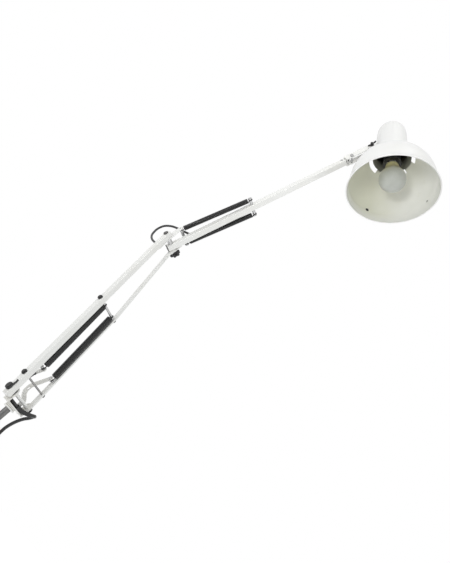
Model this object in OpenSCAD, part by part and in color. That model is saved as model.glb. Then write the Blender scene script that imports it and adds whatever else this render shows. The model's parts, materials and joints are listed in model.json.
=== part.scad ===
// Balanced-arm spring lamp that turns on a spigot. Lengths in millimetres, angles in degrees.
// Origin: middle of the spigot's shoulder, which rests on the top of a clamp or table socket.
// +Z is up the spigot, +X is the way the lamp reaches, and every arm pivot runs along Y.

/* [Spigot and swivel] */
// Diameter of the spigot that drops into the clamp
spigot_d = 12; // [10:0.5:14]
// Length of the spigot below its shoulder
spigot_len = 42; // [30:1:55]
// Diameter of the journal that the yoke turns on
journal_d = 8; // [6:0.5:9]
// Outside diameter of the shoulder flange
flange_d = 22; // [20:1:26]
// Thickness of the shoulder flange
flange_t = 2.8; // [2:0.2:4]
// Outside diameter of the collar that keeps the yoke down
collar_d = 14; // [12.5:0.5:15]
// Height of the collar
collar_h = 4.5; // [3:0.5:6]

/* [Yoke] */
// How far the arm pivot lies in front of the spigot axis
pivot_x = 5; // [3:0.5:6]
// Height of the arm pivot above the shoulder
pivot_z = 23; // [21:1:28]
// Clear width between the yoke's cheeks
yoke_w = 38.4; // [36:0.2:40]
// Thickness of the yoke's steel strap
yoke_t = 2; // [1.5:0.1:2.4]
// Width of the yoke's strap
strap_w = 18; // [16:1:20]
// Clear width between the spring bracket's cheeks
bracket_w = 22; // [18:1:24]
// Thickness of the spring bracket's sheet
bracket_t = 1.6; // [1.2:0.1:2]
// How far the lower spring studs lie behind the arm pivot
stud_back = 8.5; // [6:0.5:11]
// Height of the lower spring studs above the arm pivot
stud_up = 60.5; // [56:0.5:66]
// Diameter of the lower spring studs
stud_d = 4; // [3:0.5:5]

/* [Lower arm] */
// Distance between the pivots of each arm
arm_len = 450; // [400:5:520]
// How far the lower arm leans back in the rest pose
lower_lean = 10; // [4:1:20]
// Side of the lower square tube
lower_side = 12.5; // [12:0.5:13]
// Wall of both square tubes
tube_wall = 1.2; // [1:0.1:1.5]
// Distance of the lower tube's middle from the lamp's middle plane
lower_tube_y = 28.8; // [28.6:0.2:31]
// Width of the flat bar of the lower arm
bar_w = 10; // [8:0.5:12]
// Thickness of the flat bar
bar_t = 3; // [2.5:0.5:3.5]
// Diameter of the arm pivot bolts
pivot_d = 6; // [5:0.5:7]
// Height of the tie rod above the arm pivot, along the arm
tie_at = 33; // [30:1:36]
// Diameter of the tie rod
tie_d = 3.6; // [3:0.2:4]
// Height of the spring bar above the arm pivot, along the arm
spring_bar_at = 230; // [200:5:250]
// Diameter of the spring bar between the arm's members
spring_bar_d = 5.2; // [4.6:0.2:6]

/* [Elbow] */
// How far forward of the elbow the upper spring pin lies, across the lower arm
anchor_fwd = 7; // [4:0.5:10]
// How far above the elbow the upper spring pin lies, along the lower arm
anchor_up = 39; // [36:1:44]
// Diameter of the upper spring pins
anchor_d = 7; // [6:0.5:8]
// Thickness of the elbow's side plates
plate_t = 2; // [1.5:0.1:2.2]
// Diameter of the star knob
star_d = 26; // [22:1:30]

/* [Upper arm] */
// How far the upper arm leans forward in the rest pose
upper_lean = 25; // [20:1:40]
// Side of the upper square tube
upper_side = 14; // [13:0.5:14.2]
// Distance of the upper spring pin from the elbow, along the arm
upper_pin_at = 206; // [190:2:230]
// Distance of each upper spring from the lamp's middle plane
upper_spring_y = 18.5; // [16.5:0.5:19]

/* [Springs] */
// Outside diameter of the lower springs
lower_spring_d = 12.8; // [10:0.2:12.8]
// Distance of each lower spring from the lamp's middle plane
lower_spring_y = 15.4; // [14.5:0.1:15.6]
// Outside diameter of the upper springs
upper_spring_d = 11.6; // [9:0.2:12]
// Wire of all four springs
wire_d = 1.8; // [1.4:0.1:2]
// Curls of each spring
curls = 17; // [8:1:18]

/* [Head joint] */
// Distance from the end of the upper arm to the tilt pivot
fork_len = 84; // [78:1:92]
// Turn of the head about the upper arm in the rest pose
head_turn = 17; // [0:1:30]
// Lean of the shade's axis from plumb in the rest pose, before that turn
head_lean = 27.5; // [20:0.5:40]
// Clear width between the fork's cheeks
fork_w = 16.4; // [15:0.2:18]
// Thickness of the fork's strap
fork_t = 2; // [1.6:0.1:2.2]
// Diameter of the fork's stem inside the upper tube
stem_d = 11.4; // [10:0.1:11.4]
// Distance from the tilt pivot to the shade's axis
neck_offset = 46; // [44:0.5:50]
// Height of the tilt pivot above the shade's rim
tilt_height = 150; // [144:1:156]

/* [Shade] */
// Diameter of the shade's rim
rim_d = 200; // [180:2:216]
// Diameter of the dome where it leaves the rim's flare
dome_d = 190; // [176:2:196]
// Height of the flare above the rim
flare_h = 20; // [12:1:28]
// Height of the dome above the flare
dome_h = 100; // [92:1:108]
// Diameter of the neck cup
cup_d = 70; // [66:1:74]
// Overall height of the shade
shade_h = 229; // [222:1:240]
// Thickness of the shade's sheet
shade_t = 0.8; // [0.6:0.1:1.2]
// Distance of the vent slots from the shade's axis
vent_r = 47; // [45:0.5:52]
vent_w = 8; // [4:0.5:9]
vent_span = 55; // [30:5:60]
vent_turn = 72.5; // [0:0.5:90]

/* [Bulb and holder] */
// Diameter of the bulb
bulb_d = 60; // [50:1:62]
// Height of the middle of the bulb above the rim
bulb_at = 40; // [34:1:46]
// Diameter of the switch's threaded body
switch_d = 12; // [10:0.5:14]
// Diameter of the switch's button
button_d = 8; // [6:0.5:9]
// How far the button travels
switch_travel = 2.5; // [1.5:0.5:3]
// Diameter of the bulb's cap
cap_d = 26.4; // [26:0.2:27]
// Outside diameter of the lampholder
holder_d = 38; // [34:1:42]

/* [Cord] */
// Diameter of the mains cord
cord_d = 6; // [5:0.2:7]
// Diameter of the sheathed leads at the joints
lead_d = 5; // [4:0.2:5.4]
// Diameter of the bare leads inside the arms
core_d = 2.6; // [2:0.2:3]

/* [Hidden] */
$fn = 48;

run_gap = 0.3; // between bodies that pass each other
fit = 0.05; // radial play of a turning fit
eps = 0.01; // overlap that keeps unions whole

// Swivel stack
washer_t = 1;
hub_z = flange_t + run_gap;
hub_h = 2.6;
plate_z = hub_z + hub_h;
collar_z = plate_z + yoke_t + run_gap;
collar_r = collar_d / 2;

// Yoke and lower arm, across the lamp
cheek_in = yoke_w / 2;
cheek_out = cheek_in + yoke_t;
tube_in = lower_tube_y - lower_side / 2;
tube_out = lower_tube_y + lower_side / 2;
pad_t = tube_in - cheek_out - run_gap;
bar_in = cheek_out + run_gap + pad_t;
bar_out = bar_in + bar_t;
cap_h = 4;
lower_tail = 11;
lower_top = 8;

// Elbow, across the lamp
upper_half = upper_side / 2;
side_gap = 0.4;
bar_elbow_in = upper_half + side_gap;
bar_elbow_out = bar_elbow_in + bar_t;
right_plate_out = bar_elbow_out + plate_t;
left_plate_in = tube_in - plate_t;
knob_gap = run_gap;
anchor_half = upper_spring_y + 4;
upper_tail = 10;
upper_end = 8;

// Rest-pose points of the mechanism
pivot = [pivot_x, 0, pivot_z];
lower_dir = [-sin(lower_lean), 0, cos(lower_lean)];
upper_dir = [sin(upper_lean), 0, cos(upper_lean)];
elbow = pivot + arm_len * lower_dir;
arm_end = elbow + arm_len * upper_dir;
tilt_pivot = arm_end + fork_len * upper_dir;
stud = pivot + [-stud_back, 0, stud_up];
spring_bar_pt = pivot + spring_bar_at * lower_dir;
anchor = elbow + [anchor_fwd * cos(lower_lean) - anchor_up * sin(lower_lean), 0,
    anchor_fwd * sin(lower_lean) + anchor_up * cos(lower_lean)];
upper_pin_pt = elbow + upper_pin_at * upper_dir;

// Shade, measured up its axis from the rim
dome_top = flare_h + dome_h;
cup_r = cup_d / 2;
fillet_r = 12;
crown_r = 20;
lug_t = 1.8;
lug_gap = run_gap;
lug_out = fork_w / 2 - lug_gap;
cap_top = bulb_at + 75;
holder_z = cap_top - 22;
holder_h = 50;
bridge_z = holder_z + holder_h;

// Cord: places along the route, chosen by hand
mains_route = [[11.6, 5.5, 11.7], [11.6, 8, 11.7], [13.3, 12, 12], [18, 16, 13.5], [25, 20, 16.5],
    [27, 27, 20.5], [22, 33, 22], [14, 38, 21.5], [5, 40, 15.5], [-4, 39, 7], [-9, 36, -6], [-10, 33, -21],
    [-5, 30, -36], [4, 26, -54], [10, 23, -74], [12, 22, -96], [12, 22, -120], [12, 22, -140],
    [12, 22, -150]];
base_lead_route = [[11.6, 2.5, 11.7], [11.6, 0, 11.7], [11, -4, 11.7], [9, -9, 12], [5, -14, 12.5],
    [-2, -16, 15], [-9, -16, 23], [-13, -16, 35], [-12, -16, 48], [-8, -16.5, 60], [-4.5, -18, 66]];
elbow_lead_route = [[-29.9, -28, -21.2], [-50.9, -25, -4.2], [-61.9, -22, 19.8], [-58.9, -19, 38.8],
    [-43.9, -15.5, 47.3], [-25.9, -12, 48.8], [-9.9, -7.5, 48.8]];
plug_lead_route = [[12, 28.6, -194], [12, 28.6, -210], [12, 28.6, -226], [12, 28.6, -242]];
head_lead_route = [[-3.5, -4.5, 25], [-3.5, -5, 36], [-5.5, -4, 47], [-10.5, 0, 59], [-13.5, 6, 73],
    [-15, 13, 88], [-15.5, 19, 99]];
hank_loops = 6;
hank_r = 37.5;
hank_run = 22;
hank_step = 6.5;
hank_layer = 6.6;
base_port = 45;
elbow_port = arm_len - 28;
rivet_low = arm_len - 16;
rivet_high = arm_len - 30;
upper_port = 50;
groove_r = stem_d / 2 - 1.2;
fork_base = upper_end + 1.2;
lug_r = 6;
lead_in = tilt_height + 25;
lead_side = 30;
bracket_seat = 0.1;
shade_rivet_at = [33, 123];
shade_rivet_h = 24;
hank_place = mains_route[len(mains_route) - 1] + [-hank_r, 0, -hank_run];

// Unit vector and rotation helpers
function unit(v) = v / norm(v);
function turn(p, axis, a) = p * cos(a) + cross(axis, p) * sin(a) + axis * (axis * p) * (1 - cos(a));

// Places of points given in the frames of the arms and the head
function in_lower(p) = pivot + [p.x * cos(lower_lean) - p.z * sin(lower_lean), p.y,
    p.x * sin(lower_lean) + p.z * cos(lower_lean)];
function in_upper(p) = elbow + [p.x * cos(upper_lean) + p.z * sin(upper_lean), p.y,
    -p.x * sin(upper_lean) + p.z * cos(upper_lean)];
function in_fork(p) = arm_end + turn([p.x * cos(upper_lean) + p.z * sin(upper_lean), p.y,
    -p.x * sin(upper_lean) + p.z * cos(upper_lean)], upper_dir, head_turn);
function in_head(p) = tilt_pivot + turn([p.x * cos(head_lean) - p.z * sin(head_lean), p.y,
    p.x * sin(head_lean) + p.z * cos(head_lean)], upper_dir, head_turn);

// Frames for the arms, the fork and the head
module lower_frame() {
    translate(pivot) rotate([0, -lower_lean, 0]) children();
}
module upper_frame() {
    translate(elbow) rotate([0, upper_lean, 0]) children();
}
module fork_frame() {
    translate(arm_end) rotate(a = head_turn, v = upper_dir) rotate([0, upper_lean, 0]) children();
}
module head_frame() {
    translate(tilt_pivot) rotate(a = head_turn, v = upper_dir) rotate([0, -head_lean, 0]) children();
}
// The shade's axis, with its rim at zero height
module shade_frame() {
    head_frame() translate([neck_offset, 0, -tilt_height]) children();
}

// A cylinder along Y between two places
module rod_y(d, y0, y1) {
    translate([0, y0, 0]) rotate([-90, 0, 0]) cylinder(d = d, h = y1 - y0);
}

// Square with rounded corners, made of exact pieces
module round_square(side, r) {
    square([side, side - 2 * r], center = true);
    square([side - 2 * r, side], center = true);
    for (sx = [-1, 1], sy = [-1, 1]) translate([sx, sy] * (side / 2 - r)) circle(r = r, $fn = 24);
}

// Square tube along Z
module square_tube(side, z0, z1) {
    translate([0, 0, z0]) linear_extrude(z1 - z0) difference() {
        round_square(side, 1.6);
        square(side - 2 * tube_wall, center = true);
    }
}

// Smooth curve through the points of a route
function spline_at(p, i, t) =
    let (n = len(p) - 1, a = p[max(i - 1, 0)], b = p[i], c = p[min(i + 1, n)], d = p[min(i + 2, n)])
    0.5 * (2 * b + (c - a) * t + (2 * a - 5 * b + 4 * c - d) * t * t + (3 * b - a - 3 * c + d) * t * t * t);
function smooth(p, steps) = concat([for (i = [0:len(p) - 2], k = [0:steps - 1]) spline_at(p, i, k / steps)],
    [p[len(p) - 1]]);

// One unbroken tube swept along points, its rings carried without twist
function tangent(p, i) = unit(p[min(i + 1, len(p) - 1)] - p[max(i - 1, 0)]);
function carried(v, t) = unit(v - t * (v * t));
function side_of(t) = abs(t.y) < 0.9 ? carried([0, 1, 0], t) : carried([1, 0, 0], t);
function normals(p) = [for (i = 0, v = side_of(tangent(p, 0)); i < len(p);
    i = i + 1, v = i < len(p) ? carried(v, tangent(p, i)) : v) v];
module sweep(p, d, sides) {
    v = normals(p);
    points = [for (i = [0:len(p) - 1], k = [0:sides - 1])
        let (t = tangent(p, i), w = cross(t, v[i]), a = 360 * k / sides)
        p[i] + d / 2 * (cos(a) * v[i] + sin(a) * w)];
    last = (len(p) - 1) * sides;
    walls = [for (i = [0:len(p) - 2], k = [0:sides - 1])
        let (a = i * sides + k, b = i * sides + (k + 1) % sides)
        each [[a, a + sides, b], [b, a + sides, b + sides]]];
    caps = [[for (k = [0:sides - 1]) k], [for (k = [sides - 1:-1:0]) last + k]];
    polyhedron(points, concat(walls, caps), convexity = 10);
}
// Least gap that a swept tube leaves to itself, measured between points some rings apart
function least_gap(p, d, apart) =
    min([for (i = [0:len(p) - 1 - apart], j = [i + apart:len(p) - 1]) norm(p[i] - p[j])]) - d;
// Three places in line, so that a lead leaves or meets a face squarely
function stub(from, to) = [from, (from + to) / 2, to];
function length(p) = len(p) < 2 ? 0 : [for (i = 1, s = norm(p[1] - p[0]); i < len(p);
    i = i + 1, s = i < len(p) ? s + norm(p[i] - p[i - 1]) : s) s][len(p) - 2];

// A tension spring lying along X from one pin to another, with a hook round each pin
function hook(r) = [for (a = [0:45:225]) r * [cos(a), 0, sin(a)]];
function coil(x0, x1, r0, r1, y_turn) = [for (k = [0:8 * curls]) let (
    u = k / (8 * curls), grow = min(1, k / 4, (8 * curls - k) / 4), a = -90 + 45 * k, r = r0 + (r1 - r0) * grow)
    [x0 + (x1 - x0) * u, r * cos(a) * y_turn, r * sin(a)]];
function spring_path(length, pin0, pin1, d) = let (
    h0 = (pin0 + wire_d) / 2 + run_gap, h1 = (pin1 + wire_d) / 2 + run_gap, lead = 3.2)
    concat(hook(h0), [[0, 0, -h0]], coil(h0 + lead, length - h1 - lead, h0, (d - wire_d) / 2, 1),
    [[length, 0, -h1]], [for (q = [len(hook(h1)) - 1:-1:0]) [length - hook(h1)[q].x, 0, hook(h1)[q].z]]);
module spring(from, to, y, pin0, pin1, d) {
    span = to - from;
    path = spring_path(norm(span), pin0, pin1, d);
    echo("least gap between curls", least_gap(path, wire_d, 6));
    translate(from + [0, y, 0]) rotate([0, -atan2(span.z, span.x), 0]) sweep(path, wire_d, 6);
}

// Base: spigot, flange and collar
module spigot() {
    color("dimgray") rotate_extrude() polygon([[0, -spigot_len], [spigot_d / 2 - 1, -spigot_len],
        [spigot_d / 2, 1 - spigot_len], [spigot_d / 2, 0], [journal_d / 2, 0],
        [journal_d / 2, collar_z + collar_h], [0, collar_z + collar_h]]);
}
module base_flange() {
    color("white") difference() {
        rotate_extrude() polygon([[0, 0], [flange_d / 2 - 0.8, 0], [flange_d / 2, 0.8],
            [flange_d / 2, flange_t - 0.8], [flange_d / 2 - 0.8, flange_t], [0, flange_t]]);
        translate([0, 0, -1]) cylinder(d = journal_d, h = flange_t + 2);
    }
}
module retaining_collar() {
    color("black") translate([0, 0, collar_z]) difference() {
        cylinder(r = collar_r, h = collar_h);
        translate([0, 0, -1]) cylinder(d = journal_d, h = collar_h + 2);
    }
}

// Yoke: hub ring and a strap bent up into two cheeks
module yoke_cheek_outline() {
    translate([pivot_x - strap_w / 2, plate_z]) square([strap_w, pivot_z - plate_z]);
    translate([pivot_x, pivot_z]) circle(d = strap_w);
}
module base_yoke() {
    color("white") difference() {
        union() {
            translate([0, 0, hub_z]) cylinder(d = flange_d - 2, h = hub_h + eps);
            translate([pivot_x - strap_w / 2, -cheek_out, plate_z]) cube([strap_w, 2 * cheek_out, yoke_t]);
            for (s = [0, 1]) mirror([0, s, 0]) translate([0, cheek_out, 0]) rotate([90, 0, 0])
                linear_extrude(yoke_t) yoke_cheek_outline();
        }
        translate([0, 0, hub_z - 1]) cylinder(d = journal_d + 2 * fit, h = hub_h + yoke_t + 2);
        translate(pivot) rod_y(pivot_d, -cheek_out - 1, cheek_out + 1);
    }
}

// Spring bracket: a U of sheet whose cheeks bend back and then reach up to the spring studs
module bracket_outline() {
    front = [[-3.5, 0], [-3.5, 4], [-6.5, 7], [-14.5, 12], [-22, 16], [-26, 22], [-25.5, 31]];
    back = [[-33, 38], [-38, 30], [-37, 18], [-28, 9], [-17, 4], [-15, 0]];
    base = plate_z + yoke_t - pivot_z;
    difference() {
        union() {
            polygon(concat([[-3.5, base]], front, back, [[-15, base]]));
            polygon([[-25.5, 31], [-stud_back + 3, stud_up - 3], [-stud_back - 3.6, stud_up + 2.4], [-33, 38]]);
            translate([-stud_back, stud_up]) circle(r = 4.5);
        }
        translate([-30, 25]) circle(r = 3);
    }
}
module spring_bracket() {
    low = plate_z + yoke_t;
    color("white") difference() {
        union() {
            for (s = [0, 1]) mirror([0, s, 0]) translate([pivot_x, bracket_w / 2 + bracket_t, pivot_z])
                rotate([90, 0, 0]) linear_extrude(bracket_t) bracket_outline();
            translate([pivot_x - 15, -bracket_w / 2 - bracket_t, low])
                cube([bracket_t, bracket_w + 2 * bracket_t, 8]);
            translate([pivot_x - 15, -bracket_w / 2 - bracket_t, low])
                cube([11.5, bracket_w + 2 * bracket_t, bracket_t]);
        }
        translate([0, 0, low - 1]) cylinder(r = collar_r + 0.6, h = 12);
        translate(stud) rod_y(stud_d, -20, 20);
    }
}
module spring_studs() {
    out = lower_spring_y + 3.4;
    color("silver") for (s = [0, 1]) mirror([0, s, 0]) translate(stud) union() {
        rod_y(stud_d, bracket_w / 2 - 0.4, out);
        rod_y(stud_d + 2.4, out, out + 1);
        rod_y(stud_d + 2.4, bracket_w / 2 - 1.4, bracket_w / 2 - 0.4 + 0.4);
    }
}
module pivot_bolt() {
    color("white") translate(pivot) rod_y(pivot_d, -tube_out - 3, bar_out + run_gap + cap_h - 1);
}
module pivot_cap() {
    color("black") translate(pivot) difference() {
        union() {
            rod_y(11, bar_out + run_gap, bar_out + run_gap + cap_h - 1);
            rod_y(8, bar_out + run_gap, bar_out + run_gap + cap_h);
        }
        rod_y(pivot_d, bar_out, bar_out + run_gap + cap_h - 1);
    }
}

// Lever knob: a round boss with a curved lever, on the outer end of the arm pivot bolt
module lever_knob() {
    face = tube_out + run_gap;
    color("black") translate(pivot) difference() {
        union() {
            rod_y(13, -face - 4, -face);
            rod_y(10, -face - 4.8, -face - 4 + eps);
            translate([0, -face - 0.8, 0]) rotate([90, 0, 0]) linear_extrude(2.2) lever_outline();
        }
        rod_y(pivot_d + 2 * fit, -face - 3, -face + 1);
    }
}
module lever_outline() {
    difference() {
        translate([-6.8, 7.5]) circle(r = 13.2);
        translate([-9.2, 11.8]) circle(r = 13);
        translate([-30, -15]) square([27, 52]);
    }
    translate([3.9, 14.3]) circle(r = 1.6);
}
// Cord clip on the yoke's strap, where the mains cord meets the lead into the arm
module cord_clip() {
    low = plate_z + yoke_t;
    color("black") difference() {
        union() {
            translate([8.6, 0, low]) cube([5.4, 8, 4]);
            translate([11.6, 0, low + 4]) rod_y(8, 0, 8);
        }
        translate([11.6, 0, low + 4]) rod_y(lead_d, -1, 2.5);
        translate([11.6, 0, low + 4]) rod_y(cord_d, 5.5, 9);
    }
}

// Lower arm: square tube, bent flat bar and what ties them
module lower_tube() {
    color("whitesmoke") lower_frame() difference() {
        translate([0, -lower_tube_y, 0]) square_tube(lower_side, -lower_tail, arm_len + lower_top);
        rod_y(pivot_d + 2 * fit, -tube_out - 1, -tube_in + 1);
        translate([0, 0, tie_at]) rod_y(tie_d, -tube_out - 1, -tube_in + 1);
        translate([0, 0, spring_bar_at]) rod_y(4, -tube_out - 1, -tube_in + 1);
        translate([0, 0, arm_len]) rod_y(pivot_d, -tube_out - 1, -tube_in + 1);
        translate([0, 0, base_port]) rod_y(lead_d + 2, -tube_in - 2, -tube_in + 1);
        for (z = [rivet_low, rivet_high]) translate([0, 0, z]) rod_y(3, -tube_in - 2, -tube_in + 1);
        translate([-lower_side / 2 - 1, -lower_tube_y, elbow_port]) rotate([0, 90, 0])
            cylinder(d = lead_d + 2, h = 3);
    }
}
module lower_tube_plug() {
    color("white") lower_frame() translate([0, -lower_tube_y, -lower_tail]) union() {
        translate([0, 0, -1.5]) linear_extrude(1.5) round_square(lower_side, 1.6);
        linear_extrude(4) square(lower_side - 2 * tube_wall, center = true);
    }
}
module bar_side_outline() {
    bend = spring_bar_at + 8;
    near = arm_len - 14;
    polygon([[bar_in, 0], [bar_out, 0], [bar_out, bend], [bar_elbow_out, near], [bar_elbow_out, arm_len],
        [bar_elbow_in, arm_len], [bar_elbow_in, near], [bar_in, bend]]);
}
module lower_bar() {
    color("whitesmoke") lower_frame() difference() {
        union() {
            translate([-bar_w / 2, 0, 0]) rotate([90, 0, 90]) linear_extrude(bar_w) bar_side_outline();
            rod_y(bar_w, bar_in, bar_out);
            translate([0, 0, arm_len]) rod_y(bar_w, bar_elbow_in, bar_elbow_out);
        }
        rod_y(pivot_d + 2 * fit, bar_in - 1, bar_out + 1);
        translate([0, 0, tie_at]) rod_y(tie_d, bar_in - 1, bar_out + 1);
        translate([0, 0, spring_bar_at]) rod_y(4, bar_in - 1, bar_out + 1);
        translate([0, 0, arm_len]) rod_y(pivot_d, bar_elbow_in - 1, bar_elbow_out + 1);
    }
}
module pivot_washers() {
    color("black") lower_frame() for (s = [-1, 1]) difference() {
        rod_y(13, s > 0 ? bar_in - pad_t : -tube_in, s > 0 ? bar_in : -tube_in + pad_t);
        rod_y(pivot_d + 2 * fit, -tube_in - 1, bar_in + 1);
    }
}
module tie_rod() {
    color("dimgray") lower_frame() translate([0, 0, tie_at]) rod_y(tie_d, -tube_out - 2.5, bar_out + 2.5);
}
// Push-on caps on the two ends of a rod through the arm's members
module end_caps(hole) {
    difference() {
        union() {
            rod_y(10, -tube_out - 2.5, -tube_out);
            rod_y(7, -tube_out - 4, -tube_out - 2.5 + eps);
        }
        rod_y(hole, -tube_out - 2.5, -tube_out + 1);
    }
    difference() {
        union() {
            rod_y(8, bar_out, bar_out + 2.5);
            rod_y(6, bar_out + 2.5 - eps, bar_out + 3.6);
        }
        rod_y(hole, bar_out - 1, bar_out + 2.5);
    }
}
module rod_caps() {
    color("black") lower_frame() {
        translate([0, 0, tie_at]) end_caps(tie_d);
        translate([0, 0, spring_bar_at]) end_caps(4);
    }
}
module spring_bar() {
    color("dimgray") lower_frame() translate([0, 0, spring_bar_at]) union() {
        rod_y(spring_bar_d, -tube_in, bar_in);
        rod_y(4, -tube_out - 2.5, bar_out + 2.5);
    }
}
module lower_spring_left() {
    color("black") spring(stud, spring_bar_pt, -lower_spring_y, stud_d, spring_bar_d, lower_spring_d);
}
module lower_spring_right() {
    color("black") spring(stud, spring_bar_pt, lower_spring_y, stud_d, spring_bar_d, lower_spring_d);
}

// Leads: the short one at the base, the grommets and the bare lead inside the tube
module base_lead() {
    port = in_lower([0, -tube_in + 1.6, base_port]);
    color("black") sweep(smooth(concat(base_lead_route, stub(port + [0, 3, 0], port)), 3), lead_d, 8);
}
module grommet() {
    difference() {
        union() {
            translate([0, 0, -tube_wall]) cylinder(d = lead_d + 2, h = tube_wall + 0.1);
            cylinder(d = lead_d + 4, h = 1.6);
        }
        translate([0, 0, -3]) cylinder(d = lead_d - 1, h = 7);
    }
}
module lower_grommets() {
    color("black") lower_frame() {
        translate([0, -tube_in, base_port]) rotate([-90, 0, 0]) grommet();
        translate([-lower_side / 2, -lower_tube_y, elbow_port]) rotate([0, -90, 0]) grommet();
    }
}
module lower_core() {
    color("black") lower_frame() translate([-3.6, -lower_tube_y, base_port + 6])
        cylinder(d = core_d, h = elbow_port - base_port - 12);
}

// Elbow
module plate_outline(reach) {
    hull() {
        translate([0, arm_len]) circle(d = 15, $fn = 32);
        translate([anchor_fwd, arm_len + anchor_up]) circle(d = 12, $fn = 32);
    }
    translate([-5.5, arm_len - reach]) square([11, reach]);
}
module elbow_plate(y0) {
    lower_frame() difference() {
        translate([0, y0 + plate_t, 0]) rotate([90, 0, 0]) linear_extrude(plate_t) plate_outline(38);
        translate([0, 0, arm_len]) rod_y(pivot_d, y0 - 1, y0 + plate_t + 1);
        translate([anchor_fwd, 0, arm_len + anchor_up]) rod_y(4, y0 - 1, y0 + plate_t + 1);
        for (z = [rivet_low, rivet_high]) translate([0, 0, z]) rod_y(3, y0 - 1, y0 + plate_t + 1);
    }
}
module elbow_plate_left() {
    color("white") elbow_plate(-tube_in);
}
module elbow_plate_right() {
    color("white") lower_frame() difference() {
        translate([0, right_plate_out, 0]) rotate([90, 0, 0]) linear_extrude(plate_t) plate_outline(13);
        translate([0, 0, arm_len]) rod_y(pivot_d, bar_elbow_out - 1, right_plate_out + 1);
        translate([anchor_fwd, 0, arm_len + anchor_up]) rod_y(4, bar_elbow_out - 1, right_plate_out + 1);
    }
}
module elbow_rivets() {
    color("silver") lower_frame() for (z = [rivet_low, rivet_high]) translate([0, 0, z]) union() {
        rod_y(3, -tube_in - tube_wall, -left_plate_in + eps);
        rod_y(5.4, -left_plate_in, -left_plate_in + 1.2);
        rod_y(5, -tube_in - tube_wall - 1, -tube_in - tube_wall + eps);
    }
}
module elbow_bolt() {
    end = right_plate_out + run_gap + 10;
    color("dimgray") lower_frame() translate([0, 0, arm_len]) union() {
        rod_y(pivot_d, -tube_out - eps, end);
        rod_y(11, -tube_out - 2, -tube_out);
        rod_y(7.5, -tube_out - 3, -tube_out - 2 + eps);
    }
}
module elbow_spacer() {
    color("silver") lower_frame() translate([0, 0, arm_len]) difference() {
        rod_y(11, -left_plate_in, -upper_half - run_gap);
        rod_y(pivot_d, -left_plate_in - 1, -upper_half + 1);
    }
}
module star_outline() {
    circle(r = star_d / 2 - 3);
    for (a = [0:60:300]) rotate(a) translate([star_d / 2 - 4, 0]) circle(r = 4, $fn = 24);
}
module star_knob() {
    y0 = right_plate_out + run_gap;
    color("black") lower_frame() translate([0, 0, arm_len]) difference() {
        union() {
            rod_y(15, y0, y0 + 3);
            translate([0, y0 + 12, 0]) rotate([90, 0, 0]) linear_extrude(9.5) star_outline();
            rod_y(12, y0 + 11.5, y0 + 13);
        }
        rod_y(pivot_d + 2 * fit, y0 - 1, y0 + 10.3);
    }
}
module upper_anchor_pin() {
    color("dimgray") lower_frame() translate([anchor_fwd, 0, arm_len + anchor_up]) union() {
        rod_y(4, -tube_in, anchor_half);
        rod_y(anchor_d, -left_plate_in, bar_elbow_out);
        rod_y(anchor_d, right_plate_out, anchor_half);
        rod_y(anchor_d + 2, anchor_half - 1, anchor_half);
    }
}
module elbow_lead() {
    from = in_lower([-lower_side / 2 - 1.6, -lower_tube_y, elbow_port]);
    out = in_lower([-lower_side / 2 - 7, -lower_tube_y, elbow_port]);
    port = in_upper([-upper_half - 1.6, 0, upper_port]);
    above = in_upper([-upper_half - 7, 0, upper_port]);
    middle = [for (p = elbow_lead_route) in_lower([0, 0, arm_len]) + p];
    color("black") sweep(smooth(concat(stub(from, out), middle, stub(above, port)), 3), lead_d, 8);
}

// Upper arm
module upper_tube() {
    color("whitesmoke") upper_frame() difference() {
        square_tube(upper_side, -upper_tail, arm_len + upper_end);
        rod_y(pivot_d + 2 * fit, -upper_half - 1, upper_half + 1);
        translate([0, 0, upper_pin_at]) rod_y(4, -upper_half - 1, upper_half + 1);
        translate([-upper_half - 1, 0, upper_port]) rotate([0, 90, 0]) cylinder(d = lead_d + 2, h = 3);
        translate([0, 0, arm_len]) rod_y(3, -upper_half - 1, upper_half + 1);
    }
}
module upper_tube_plug() {
    color("black") upper_frame() translate([0, 0, -upper_tail]) union() {
        translate([0, 0, -1.5]) linear_extrude(1.5) round_square(upper_side, 1.6);
        linear_extrude(4) square(upper_side - 2 * tube_wall, center = true);
    }
}
module upper_grommet() {
    color("black") upper_frame() translate([-upper_half, 0, upper_port]) rotate([0, -90, 0]) grommet();
}
module upper_core() {
    color("black") upper_frame() translate([-3.9, 0, upper_port + 6])
        cylinder(d = core_d, h = arm_len - upper_port - 24);
}
module upper_spring_pin() {
    color("dimgray") upper_frame() translate([0, 0, upper_pin_at]) union() {
        rod_y(4, -anchor_half, anchor_half);
        for (s = [0, 1]) mirror([0, s, 0]) {
            rod_y(anchor_d, upper_half, anchor_half);
            rod_y(anchor_d + 2, anchor_half - 1, anchor_half);
        }
    }
}
module upper_spring_left() {
    color("black") spring(anchor, upper_pin_pt, -upper_spring_y, anchor_d, anchor_d, upper_spring_d);
}
module upper_spring_right() {
    color("black") spring(anchor, upper_pin_pt, upper_spring_y, anchor_d, anchor_d, upper_spring_d);
}
module swivel_screws() {
    color("silver") upper_frame() for (s = [0, 1]) mirror([0, s, 0]) translate([0, 0, arm_len]) union() {
        rod_y(3, groove_r + run_gap, upper_half + 1);
        rod_y(5, upper_half, upper_half + 1.6);
    }
}

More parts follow.
